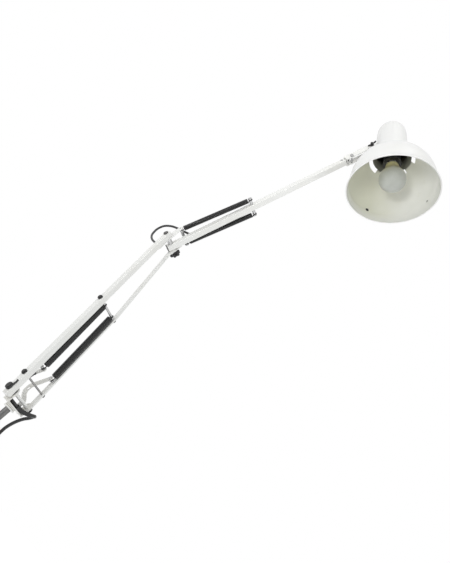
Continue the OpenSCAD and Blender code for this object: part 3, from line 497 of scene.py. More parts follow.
@dataclass(frozen=True)
class SpringLacquer:
    """Black lacquered spring wire, rubbed brighter in places."""

    name: str = "spring_lacquer"

    def build(self) -> bpy.types.Material:
        """Makes the material."""
        ink = Ink(self.name)
        rub = ink.noise(260.0, 3.0, 0.7).above(0.56, 0.8)
        dust = ink.noise(35.0, 4.0).above(0.45, 0.8)
        tone = ink.mix(rub * 0.2, grey(0.004), grey(0.045, 0.03))
        tone = ink.mix(dust * 0.06, tone, grey(0.10, 0.05))
        normal = ink.bump(ink.noise(3000.0, 2.0), 0.00001, 0.5)
        return ink.finish(Base_Color=tone, Roughness=(0.3 + rub * 0.12 + dust * 0.14).clamped(), Metallic=0.0,
                          Normal=normal, Coat_Weight=0.2, Coat_Roughness=0.2)


@dataclass(frozen=True)
class Sheath:
    """Extruded cord sheath: soft sheen, slight ripple along its length and light dust."""

    name: str
    body: Colour = grey(0.014)

    def build(self) -> bpy.types.Material:
        """Makes the material."""
        ink = Ink(self.name)
        ripple = ink.noise(260.0, 2.0)
        dust = ink.noise(60.0, 5.0, 0.6).above(0.48, 0.8)
        tone = ink.mix(dust * 0.3, self.body, grey(0.10, 0.04))
        normal = ink.bump(ripple, 0.00005, 0.6)
        return ink.finish(Base_Color=tone, Roughness=(0.4 + dust * 0.16).clamped(), Normal=normal)


@dataclass(frozen=True)
class PearlGlass:
    """Pearl glass of the bulb: light scatters in it, and its neck is painted warmer and brighter, as painted
    light bounced from the shade's lining.
    """

    name: str
    tip: Point
    neck: Point
    clear: Colour = (0.43, 0.44, 0.40, 1.0)
    milky: Colour = (0.49, 0.50, 0.46, 1.0)
    # Warm neck tone: painted light, brighter than the body, standing in for light bounced from the lining.
    warm: Colour = (0.68, 0.62, 0.34, 1.0)

    def build(self) -> bpy.types.Material:
        """Makes the material."""
        ink = Ink(self.name)
        haze = ink.noise(40.0, 3.0).above(0.35, 0.75)
        tone = ink.mix(haze, self.clear, self.milky)
        height = ink.rise(self.tip, self.neck) + (ink.noise(35.0, 3.0) - 0.5) * 0.3
        # Painted light: the neck is painted warmer and brighter.
        tone = ink.mix(height.above(0.35, 0.75) * 0.95, tone, self.warm)
        normal = ink.bump(ink.noise(120.0, 2.0), 0.00006, 0.25)
        return ink.finish(Base_Color=tone, Roughness=(0.3 + haze * 0.08).clamped(), Normal=normal,
                          Subsurface_Weight=0.6, Subsurface_Scale=0.02, Subsurface_Radius=(1.0, 1.0, 1.0),
                          IOR=1.3, Coat_Weight=0.6, Coat_Roughness=0.05)


class Coat(Enum):
    """The lamp's finishes."""

    ARM = "arm_enamel"
    # A darker copy of the arm enamel: painted shade for the yoke and spring bracket.
    SHADED_YOKE = "yoke_enamel"
    SHADE = "shade_enamel"
    LINING = "shade_lining"
    DARK = "oiled_steel"
    STEEL = "mill_steel"
    ZINC = "zinc_steel"
    NICKEL = "nickel"
    PLASTIC = "black_moulding"
    RUBBER = "rubber"
    SPRING = "spring_lacquer"
    CORD = "cord_sheath"
    GLASS = "pearl_glass"


@dataclass
class Finishes:
    """All the lamp's materials, made once each; heights are along the shade's axis, from its rim."""

    mouth_at: float = 0.0
    neck_at: float = 130.0
    glass_tip_at: float = 10.0
    glass_neck_at: float = 88.0
    # Direction of the lining's painted shade: the side towards the arm.
    towards_arm: Point = (-0.97, 0.24, 0.0)

    def __post_init__(self) -> None:
        """Makes every finish."""
        heights = (self.mouth_at, self.neck_at, self.glass_tip_at, self.glass_neck_at)
        mouth, neck, tip, glass_neck = (tuple(BONES.shade @ Vector((0, 0, z)) * MM) for z in heights)
        towards_arm = tuple(BONES.shade.to_3x3() @ Vector(self.towards_arm))
        recipes = {
            Coat.ARM: Enamel("arm_enamel", (0.81, 0.805, 0.775, 1.0), (0.74, 0.725, 0.67, 1.0)),
            # Painted shade: the yoke and spring bracket share the arm's white paint, given here as a darker
            # copy.
            Coat.SHADED_YOKE: Enamel("yoke_enamel", (0.76, 0.75, 0.71, 1.0), (0.64, 0.62, 0.55, 1.0)),
            Coat.SHADE: Enamel("shade_enamel", (0.77, 0.765, 0.745, 1.0), (0.72, 0.71, 0.675, 1.0), 0.32),
            Coat.LINING: ShadeLining("shade_lining", (0.89, 0.89, 0.84, 1.0), (0.67, 0.67, 0.53, 1.0),
                                     neck, mouth, shaded_side=towards_arm),
            Coat.DARK: DrawnSteel("oiled_steel", grey(0.13), grey(0.22, 0.04), 0.34),
            Coat.STEEL: DrawnSteel("mill_steel", grey(0.24), grey(0.34, 0.03), 0.32),
            Coat.ZINC: DrawnSteel("zinc_steel", grey(0.50), grey(0.36, 0.02), 0.3),
            Coat.NICKEL: DrawnSteel("nickel", grey(0.66, 0.03), grey(0.5, 0.04), 0.2),
            Coat.PLASTIC: Moulding("black_moulding", grey(0.012), grey(0.09, 0.03)),
            Coat.RUBBER: Moulding("rubber", grey(0.016), grey(0.10, 0.04), 0.6, 0.00004),
            Coat.SPRING: SpringLacquer(),
            Coat.CORD: Sheath("cord_sheath"),
            Coat.GLASS: PearlGlass("pearl_glass", tip, glass_neck),
        }
        self.made = {coat: recipe.build() for coat, recipe in recipes.items()}

    def __getitem__(self, coat: Coat) -> bpy.types.Material:
        """The material of a finish."""
        return self.made[coat]


@dataclass
class Part:
    """A sub-assembly, with the finishes that dress it."""

    finishes: Finishes


# Mesh tools
def spline(points: Sequence[Point], steps: int) -> list[Vector]:
    """The smooth curve that the solids' cords follow.

    Args:
        points: the route.
        steps: places on each stretch.

    Returns:
        The curve's places.
    """
    route = [Vector(p) for p in points]
    last = len(route) - 1
    curve = []
    for i in range(last):
        a, b, c, d = (route[max(0, min(last, i + k))] for k in (-1, 0, 1, 2))
        for k in range(steps):
            t = k / steps
            curve.append(0.5 * (2 * b + (c - a) * t + (2 * a - 5 * b + 4 * c - d) * t * t
                                + (3 * b - a - 3 * c + d) * t ** 3))
    return curve + [route[-1]]


def run_length(points: Sequence[Vector]) -> float:
    """Length along some places."""
    return sum((b - a).length for a, b in zip(points, points[1:]))


def add_object(name: str, data: bpy.types.ID) -> bpy.types.Object:
    """Puts an object in the scene, at the origin.

    Args:
        name: the object's name.
        data: its mesh, camera or lamp.

    Returns:
        The object.
    """
    made = bpy.data.objects.new(name, data)
    bpy.context.scene.collection.objects.link(made)
    return made


def smooth(mesh: bpy.types.Mesh) -> None:
    """Shades every face smooth."""
    mesh.polygons.foreach_set("use_smooth", [True] * len(mesh.polygons))


class Shape:
    """A mesh under construction, in millimetres, with a finish for each face."""

    def __init__(self, name: str) -> None:
        """Starts an empty mesh.

        Args:
            name: the piece's name.
        """
        self.name = name
        self.bm = bmesh.new()
        self.coats: list[Coat] = []

    def face(self, corners: Iterable[bmesh.types.BMVert], coat: Coat) -> None:
        """Adds a face through its different corners, or none where fewer than three are left.

        Args:
            corners: its corners in order.
            coat: its finish.
        """
        outline = tuple(dict.fromkeys(corners))
        if len(outline) < 3:
            return
        if coat not in self.coats:
            self.coats.append(coat)
        self.bm.faces.new(outline).material_index = self.coats.index(coat)

    def ring(self, places: Iterable[Point]) -> list[bmesh.types.BMVert]:
        """Adds a ring of vertices."""
        return [self.bm.verts.new(p) for p in places]

    def hoop(self, r: float, z: float, count: int, place: Matrix, wave: Callable | None = None) -> list:
        """Adds a ring of vertices round an axis.

        Args:
            r: its radius.
            z: its height.
            count: its vertices.
            place: where the axis stands.
            wave: scales the radius by angle and height.

        Returns:
            The ring.
        """
        spots = []
        for a in (2 * math.pi * k / count for k in range(count)):
            s = r * (wave(a, z) if wave else 1.0)
            spots.append(place @ Vector((s * math.cos(a), s * math.sin(a), z)))
        return self.ring(spots)

    def skin(self, a: list, b: list, coat: Coat) -> None:
        """Joins two closed rings with faces.

        Args:
            a: first ring, of one vertex where the shape ends in a point.
            b: second ring, of as many vertices or of one.
            coat: the faces' finish.
        """
        count = max(len(a), len(b))
        for k in range(count):
            n = (k + 1) % count
            self.face((a[k % len(a)], a[n % len(a)], b[n % len(b)], b[k % len(b)]), coat)

    def cap(self, ring: list, coat: Coat, flip: bool = False) -> None:
        """Closes a ring with a fan round its middle.

        Args:
            ring: the ring.
            coat: the faces' finish.
            flip: whether the fan faces the other way.
        """
        middle = [self.bm.verts.new(sum((v.co for v in ring), Vector()) / len(ring))]
        self.skin(*((middle, ring) if flip else (ring, middle)), coat)

    def tube(self, path: Sequence[Vector], radius: float | Callable, sides: int, coat: Coat) -> None:
        """Sweeps a round tube along a path, its rings carried without twist.

        Args:
            path: the places it follows.
            radius: one radius, or a function of the share of the path.
            sides: faces round it.
            coat: its finish.
        """
        size = radius if callable(radius) else (lambda share: radius)
        last = len(path) - 1
        normal = None
        rings = []
        for i, place in enumerate(path):
            along = (path[min(i + 1, last)] - path[max(i - 1, 0)]).normalized()
            if normal is None:
                normal = Vector((0, 1, 0)) if abs(along.y) < 0.9 else Vector((1, 0, 0))
            normal = (normal - along * normal.dot(along)).normalized()
            other = along.cross(normal)
            r = size(i / last)
            turns = [2 * math.pi * k / sides for k in range(sides)]
            rings.append(self.ring(place + r * (math.cos(a) * normal + math.sin(a) * other) for a in turns))
        for a, b in zip(rings, rings[1:]):
            self.skin(a, b, coat)
        self.cap(rings[0], coat, flip=True)
        self.cap(rings[-1], coat)

    def lathe(self, profile: Sequence[tuple[float, float]], segments: int, coat: Coat, place: Matrix,
              wave: Callable[[float, float], float] | None = None) -> None:
        """Spins an open profile that starts and ends on the axis.

        Args:
            profile: radius and height pairs.
            segments: faces round it.
            coat: its finish.
            place: where the axis stands.
            wave: scales the radius by angle and height, for lobes.
        """
        rings = [self.hoop(r, z, segments if r > ON_AXIS else 1, place, wave) for r, z in profile]
        for a, b in zip(rings, rings[1:]):
            self.skin(a, b, coat)

    def make(self, finishes: Finishes, sharp: float = 40.0) -> bpy.types.Object:
        """Turns the mesh into an object at the origin, in metres, with its faces outwards.

        Args:
            finishes: the materials.
            sharp: the angle past which an edge stays sharp, in degrees.

        Returns:
            The object.
        """
        bmesh.ops.remove_doubles(self.bm, verts=self.bm.verts, dist=WELD)
        bmesh.ops.recalc_face_normals(self.bm, faces=self.bm.faces)
        bmesh.ops.scale(self.bm, vec=(MM, MM, MM), verts=self.bm.verts)
        mesh = bpy.data.meshes.new(self.name)
        self.bm.to_mesh(mesh)
        self.bm.free()
        for coat in self.coats:
            mesh.materials.append(finishes[coat])
        smooth(mesh)
        mesh.set_sharp_from_angle(angle=math.radians(sharp))
        return add_object(self.name, mesh)


def fit(piece: bpy.types.Object, body: str, slot: str, *nodes: str) -> bpy.types.Object:
    """Seats a piece on its body in place of some solids.

    Args:
        piece: the finished piece.
        body: the body it rides on.
        slot: the record's slot; not used.
        nodes: the solids that it stands for.

    Returns:
        The piece.
    """
    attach(piece, body)
    if nodes:
        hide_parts(*nodes)
    log.info("%s on %s for %s", piece.name, body, ", ".join(nodes) or "nothing")
    return piece


class Recipe(Tree):
    """A Geometry Nodes tree with named inputs."""

    def __init__(self, name: str, **inputs: str) -> None:
        """Starts a tree that takes and gives geometry.

        Args:
            name: the tree's name.
            inputs: the kind of each input's socket, by the input's name.
        """
        super().__init__(bpy.data.node_groups.new(name, "GeometryNodeTree"))
        self.tree.interface.new_socket("Geometry", in_out="INPUT", socket_type="NodeSocketGeometry")
        self.sockets: dict[str, str] = {}
        for key, kind in inputs.items():
            made = self.tree.interface.new_socket(key, in_out="INPUT", socket_type="NodeSocket" + kind)
            self.sockets[key] = made.identifier
        self.tree.interface.new_socket("Geometry", in_out="OUTPUT", socket_type="NodeSocketGeometry")
        self.source = self.tree.nodes.new("NodeGroupInput")
        self.result = self.tree.nodes.new("NodeGroupOutput")

    def close(self, geometry: bpy.types.NodeSocket, material: bpy.types.NodeSocket) -> None:
        """Ends the tree in real geometry with a material.

        Args:
            geometry: what the tree made.
            material: the material input's socket.
        """
        real = self.add("GeometryNodeRealizeInstances", None, {0: geometry})
        inputs = {"Geometry": real.outputs[0], "Material": material}
        dressed = self.add("GeometryNodeSetMaterial", None, inputs)
        self.tree.links.new(dressed.outputs[0], self.result.inputs[0])

    def apply(self, piece: bpy.types.Object, **values: object) -> None:
        """Runs the tree on a piece and keeps the result as its plain mesh.

        Args:
            piece: the object that the tree starts from.
            values: input values by name.
        """
        modifier = piece.modifiers.new(self.tree.name, "NODES")
        modifier.node_group = self.tree
        for key, value in values.items():
            modifier[self.sockets[key]] = value
        graph = bpy.context.evaluated_depsgraph_get()
        graph.update()
        made = bpy.data.meshes.new_from_object(piece.evaluated_get(graph), depsgraph=graph)
        piece.modifiers.remove(modifier)
        piece.data = made
        smooth(made)


# Camera and room
@dataclass(frozen=True)
class Viewpoint:
    """The camera that took the photograph, in the lamp's own frame."""

    place: Point = (0.7878, -0.5348, -0.0623)
    look: Point = (-0.6703, 0.5559, 0.4917)
    up: Point = (-0.2102, -0.7776, 0.5926)
    lens: float = 32.63

    def build(self) -> None:
        """Makes the scene's camera."""
        data = bpy.data.cameras.new("camera")
        data.lens = self.lens
        data.sensor_width = 36.0
        data.clip_start = 0.01
        data.clip_end = 50.0
        camera = add_object("camera", data)
        back = -Vector(self.look).normalized()
        up = Vector(self.up)
        up = (up - back * up.dot(back)).normalized()
        right = up.cross(back)
        turn = Matrix((right, up, back)).transposed().to_4x4()
        camera.matrix_world = Matrix.Translation(self.place) @ turn
        bpy.context.scene.camera = camera


@dataclass(frozen=True)
class SoftLamp:
    """One soft studio lamp aimed at the object."""

    name: str
    place: Point
    power: float
    size: float
    aim: Point = (0.05, 0.0, 0.55)
    spread: float = 180.0

    def build(self) -> None:
        """Makes the lamp."""
        data = bpy.data.lights.new(self.name, "AREA")
        data.shape = "DISK"
        data.size = self.size
        data.energy = self.power
        data.spread = math.radians(self.spread)
        lamp = add_object(self.name, data)
        lamp.location = self.place
        lamp.rotation_euler = (Vector(self.aim) - Vector(self.place)).to_track_quat("-Z", "Y").to_euler()


@dataclass(frozen=True)
class Studio:
    """White surroundings, a pale floor and soft lamps."""

    floor_z: float = -0.5
    floor_half: float = 6.0
    ambient: float = 0.76
    floor_lift: float = 0.22
    far_lift: float = 0.5
    lift_between: tuple[float, float] = (0.5, 1.6)
    lamps: tuple[SoftLamp, ...] = (
        SoftLamp("key", (0.15, -2.3, 0.25), 9.5, 1.4),
        SoftLamp("low", (0.62, -1.07, -0.13), 0.68, 0.4, (0.3, 0.03, 0.9), 60.0),
        SoftLamp("top", (0.9, -1.1, 2.2), 6.0, 1.8),
        SoftLamp("side", (1.9, 0.7, 0.2), 4.0, 1.8),
        SoftLamp("back", (-0.7, 2.1, 1.3), 8.0, 1.8),
    )

    def build(self) -> None:
        """Makes the world, floor and lamps."""
        scene = bpy.context.scene
        scene.view_settings.view_transform = "Standard"
        scene.world = bpy.data.worlds.new("room")
        scene.world.use_nodes = True
        tree = Tree(scene.world.node_tree)
        dim = tree.add("ShaderNodeBackground", None, {0: (0.96, 0.98, 1.0, 1.0), 1: self.ambient})
        white = tree.add("ShaderNodeBackground", None, {0: grey(1.0), 1: 1.0})
        mixed = tree.add("ShaderNodeMixShader", None, {
            0: tree.straight_rays(), 1: dim.outputs[0], 2: white.outputs[0]})
        tree.add("ShaderNodeOutputWorld", None, {0: mixed.outputs[0]})
        self.floor()
        for lamp in self.lamps:
            lamp.build()

    def floor(self) -> None:
        """Makes the pale floor under the hanging cord, white where no shadow falls."""
        ink = Ink("floor_paper")
        tone = ink.mix(ink.noise(3.0, 2.0) * 0.3, grey(0.92), grey(0.90))
        material = ink.finish(Base_Color=tone, Roughness=0.9, Specular_IOR_Level=0.1)
        paper = ink.out.inputs[0].links[0].from_socket
        away = ink.add("ShaderNodeVectorMath", {"operation": "LENGTH"}, {0: ink.place})
        far = Wire(ink, away.outputs["Value"]).above(*self.lift_between)
        glow = ink.mix(far, grey(self.floor_lift), grey(self.far_lift))
        lift = ink.add("ShaderNodeEmission", None, {"Color": glow, "Strength": 1.0})
        lifted = ink.add("ShaderNodeAddShader", None, {0: paper, 1: lift.outputs[0]})
        seen = ink.add("ShaderNodeMixShader", None, {
            0: ink.straight_rays(), 1: paper, 2: lifted.outputs[0]})
        ink.tree.links.new(seen.outputs[0], ink.out.inputs[0])
        mesh = bpy.data.meshes.new("floor")
        s = self.floor_half
        mesh.from_pydata([(-s, -s, 0), (s, -s, 0), (s, s, 0), (-s, s, 0)], [], [(0, 1, 2, 3)])
        mesh.transform(Matrix.Translation((0, 0, self.floor_z)))
        mesh.materials.append(material)
        add_object("floor", mesh)


# Cords
@dataclass
class MainsCord(Part):
    """The free mains cord: its run from the clip, its tied hank and the end in the plug."""

    diameter: float = 6.0
    route: tuple[Point, ...] = (
        (11.6, 5.5, 11.7), (11.6, 8, 11.7), (13.3, 12, 12), (18, 16, 13.5), (25, 20, 16.5), (27, 27, 20.5),
        (22, 33, 22), (14, 38, 21.5), (5, 40, 15.5), (-4, 39, 7), (-9, 36, -6), (-10, 33, -21), (-5, 30, -36),
        (4, 26, -54), (10, 23, -74), (12, 22, -96), (12, 22, -120), (12, 22, -140), (12, 22, -150))
    tail: tuple[Point, ...] = ((12, 28.6, -194), (12, 28.6, -210), (12, 28.6, -226), (12, 28.6, -242))
    loops: int = 6
    fold: float = 37.5
    run: float = 22.0
    step: float = 6.5
    layer: float = 6.6
    side_steps: int = 5
    end_steps: int = 7
    relief_length: float = 24.0
    relief_ribs: int = 11

    def hank_point(self, turn: float) -> Vector:
        """A place in the hank, whose loops have two straight sides and two round ends.

        Args:
            turn: loops done so far.

        Returns:
            The place, in millimetres, in the lamp's frame.
        """
        middle = self.loops / 2
        r = self.fold - self.step * min(turn, self.loops - turn)
        climb = min(1.0, max(0.0, (turn - middle + 0.25) / 0.5))
        around = self.side_steps + self.end_steps
        half, step = divmod((self.side_steps / 2 + 2 * around * turn) % (2 * around), around)
        share = (1 - 2 * half) * max(-1.0, 1 - 2 * step / self.side_steps)
        a = -math.pi * (half + max(0.0, step - self.side_steps) / self.end_steps)
        centre = Vector(self.route[-1]) + Vector((-self.fold, 0, -self.run))
        return centre + Vector((r * math.cos(a), self.layer * climb, self.run * share + r * math.sin(a)))

    def relief_radius(self, share: float) -> float:
        """Radius of the strain relief: a taper with ribs."""
        return 4.2 - 1.0 * share + (0.25 if int(share * self.relief_ribs) % 2 else 0.0)

    def path(self) -> list[Vector]:
        """The whole centreline, in millimetres."""
        steps = 4 * (self.side_steps + self.end_steps)
        hank = [self.hank_point(k / steps) for k in range(steps * self.loops + 1)]
        return spline(self.route, 4)[:-1] + [Vector(self.route[-1])] + hank + spline(self.tail, 4)

    def build(self) -> None:
        """Makes the cord and its strain relief."""
        path = self.path()
        shape = Shape("mains_flex")
        shape.tube(path, self.diameter / 2, CORD_SIDES, Coat.CORD)
        flex = fit(shape.make(self.finishes), "yoke", "cord_sheath", "mains_cord", "cord_hank", "plug_lead")
        relief = Shape("clip_relief")
        start = [p for p in path if (p - path[0]).length < self.relief_length]
        relief.tube(start[1:], self.relief_radius, 20, Coat.RUBBER)
        sleeve = fit(relief.make(self.finishes), "yoke", "rubber_trim")
        line = [[c * MM for c in p] for p in path]
        run_length(path) * MM
        log.info("mains flex is %.0f mm long", run_length(path))


@dataclass
class Leads(Part):
    """The three held leads, on the routes that the solids have."""

    diameter: float = 5.0

    def lead(self, name: str, node: str, route: Sequence[Point], start_body: str, end_body: str) -> None:
        """Makes a lead held at both ends.

        Args:
            name: the piece's name.
            node: the solid that it stands for.
            route: the places it follows.
            start_body: the body that holds its start; not used.
            end_body: the body that holds its end; not used.
        """
        path = spline(route, 6)
        shape = Shape(name)
        shape.tube(path, self.diameter / 2, CORD_SIDES, Coat.CORD)
        piece = shape.make(self.finishes)
        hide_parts(node)
        path[0] * MM
        path[-1] * MM
        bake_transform(piece)
        log.info("%s is %.0f mm long", name, run_length(path))

    def build(self) -> None:
        """Makes the leads at the base, the elbow and the head."""
        b = BONES
        port = b.lower @ Vector((0, -20.95, 45))
        base = ((11.6, 2.5, 11.7), (11.6, 0, 11.7), (11, -4, 11.7), (9, -9, 12), (5, -14, 12.5),
                (-2, -16, 15), (-9, -16, 23), (-13, -16, 35), (-12, -16, 48), (-8, -16.5, 60),
                (-4.5, -18, 66), port + Vector((0, 3, 0)), port + Vector((0, 1.5, 0)), port)
        self.lead("base_flex", "base_lead", base, "yoke", "lower_arm")
        out = [b.lower @ Vector((x, -28.8, 422)) for x in (-7.85, -10.55, -13.25)]
        into = [b.upper @ Vector((x, 0, 50)) for x in (-14, -11.3, -8.6)]
        loop = ((-103, -28, 445), (-124, -25, 462), (-135, -22, 486), (-132, -19, 505), (-117, -15.5, 513.5),
                (-99, -12, 515), (-83, -7.5, 515))
        self.lead("elbow_flex", "elbow_lead", (*out, *loop, *into), "lower_arm", "upper_arm")
        stem = [b.fork_frame @ Vector(p) for p in (
            (0, 0, 11.8), (0, 0, 14), (0, 0, 16.2), (-3.5, -4.5, 25), (-3.5, -5, 36), (-5.5, -4, 47),
            (-10.5, 0, 59), (-13.5, 6, 73), (-15, 13, 88), (-15.5, 19, 99))]
        reach = Vector((-math.cos(math.radians(30)), 0.5, 0))
        neck = [b.head @ (Vector((46, 0, 25)) + reach * r) for r in (42, 39.45, 36.9)]
        self.lead("head_flex", "head_lead", (*stem, *neck), "fork", "lamp_head")


# Springs
@dataclass
class Spring(Part):
    """One close-wound tension spring with a hook at each end."""

    name: str
    node: str
    start: Vector
    end: Vector
    outside: float
    bodies: tuple[str, str]
    pins: tuple[float, float]
    gaps: tuple[float, float]
    wire: float = 1.8
    pitch: float = 1.86
    hook_from: float = 40.0
    hook_turn: float = 260.0
    hook_play: float = 0.25
    soft_share: float = 0.4

    def hook(self, end: int) -> float:
        """Radius of a hook's middle line round its pin, with a little play."""
        return (self.pins[end] + self.wire) / 2 + self.hook_play

    def lead(self, end: int) -> float:
        """Distance from a pin's middle to the first curl."""
        return self.hook(end) + self.gaps[end]

    def hooks(self, shape: Shape, length: float) -> None:
        """Adds the two hooks, lying along X.

        Args:
            shape: the mesh that takes them.
            length: distance between the pins.
        """
        r = (self.outside - self.wire) / 2
        for end in (0, 1):
            bend, lead = self.hook(end), self.lead(end)
            ring = [Vector((bend * math.cos(a), 0, bend * math.sin(a)))
                    for a in (math.radians(self.hook_from + self.hook_turn * k / 27) for k in range(28))]
            tail = [Vector((bend * 0.5 + (lead - bend * 0.5) * t, 0, -bend * 0.87 * (1 - t) - r * t))
                    for t in (0.25, 0.5, 0.75, 1.0)]
            path = ring + tail
            if end:
                path = [Vector((length - p.x, 0, p.z)) for p in path]
            shape.tube(path, self.wire / 2, WIRE_SIDES, Coat.SPRING)

    def build(self, recipe: Recipe) -> None:
        """Makes the spring.

        Args:
            recipe: the curl recipe.
        """
        span = self.end - self.start
        length = span.length
        shape = Shape(self.name)
        self.hooks(shape, length)
        piece = shape.make(self.finishes)
        r = (self.outside - self.wire) / 2
        wound = length - self.lead(0) - self.lead(1)
        turns = round(wound / self.pitch)
        recipe.apply(piece, coil_radius=r * MM, wire_radius=self.wire / 2 * MM, turns=float(turns),
                     wound_length=wound * MM, first_curl=self.lead(0) * MM,
                     lacquer=self.finishes[Coat.SPRING])
        heading = Vector((0, 1, 0)).cross(span.normalized())
        axes = Matrix((span.normalized(), Vector((0, 1, 0)), -heading)).transposed().to_4x4()
        piece.data.transform(Matrix.Translation(self.start * MM) @ axes)
        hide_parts(self.node)
        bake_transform(piece)
        log.info("%s has %d curls", self.name, turns)


@dataclass
class Springs(Part):
    """The two pairs of balance springs."""

    lower_aside: float = 15.4
    lower_outside: float = 12.8
    upper_aside: float = 18.5
    upper_outside: float = 11.6
    curl_steps: int = 18

    def recipe(self) -> Recipe:
        """The Geometry Nodes tree that winds wire into curls along X."""
        recipe = Recipe("wound_wire", coil_radius="Float", wire_radius="Float", turns="Float",
                        wound_length="Float", first_curl="Float", lacquer="Material")
        given = recipe.source.outputs
        spiral = recipe.add("GeometryNodeCurveSpiral", None, {
            "Resolution": self.curl_steps, "Rotations": given["turns"], "Start Radius": given["coil_radius"],
            "End Radius": given["coil_radius"], "Height": given["wound_length"]})
        ring = recipe.add("GeometryNodeCurvePrimitiveCircle", None, {
            "Resolution": WIRE_SIDES, "Radius": given["wire_radius"]})
        wire = recipe.add("GeometryNodeCurveToMesh", None, {
            "Curve": spiral.outputs[0], "Profile Curve": ring.outputs[0], "Fill Caps": True})
        shift = recipe.add("ShaderNodeCombineXYZ", None, {0: given["first_curl"]})
        laid = recipe.add("GeometryNodeTransform", None, {
            "Geometry": wire.outputs[0], "Translation": shift.outputs[0], "Rotation": (0.0, QUARTER, 0.0)})
        joined = recipe.add("GeometryNodeJoinGeometry")
        recipe.tree.links.new(given["Geometry"], joined.inputs[0])
        recipe.tree.links.new(laid.outputs[0], joined.inputs[0])
        recipe.close(joined.outputs[0], given["lacquer"])
        return recipe

    def build(self) -> None:
        """Makes all four springs."""
        recipe = self.recipe()
        b = BONES
        stud = Vector(b.stud)
        bar = b.lower @ Vector((0, 0, b.spring_bar_at))
        anchor = b.lower @ Vector(b.anchor_at)
        pin = b.upper @ Vector((0, 0, b.upper_pin_at))
        for side, sign in (("left", -1), ("right", 1)):
            low = Vector((0, self.lower_aside * sign, 0))
            Spring(self.finishes, f"lower_coil_{side}", f"lower_spring_{side}", stud + low, bar + low,
                   self.lower_outside, ("yoke", "lower_arm"), pins=(4.0, 5.2), gaps=(4.2, 0.9)).build(recipe)
            high = Vector((0, self.upper_aside * sign, 0))
            Spring(self.finishes, f"upper_coil_{side}", f"upper_spring_{side}", anchor + high, pin + high,
                   self.upper_outside, ("lower_arm", "upper_arm"), pins=(7.0, 7.0), gaps=(2.6, 1.6), wire=1.7,
                   pitch=1.76).build(recipe)


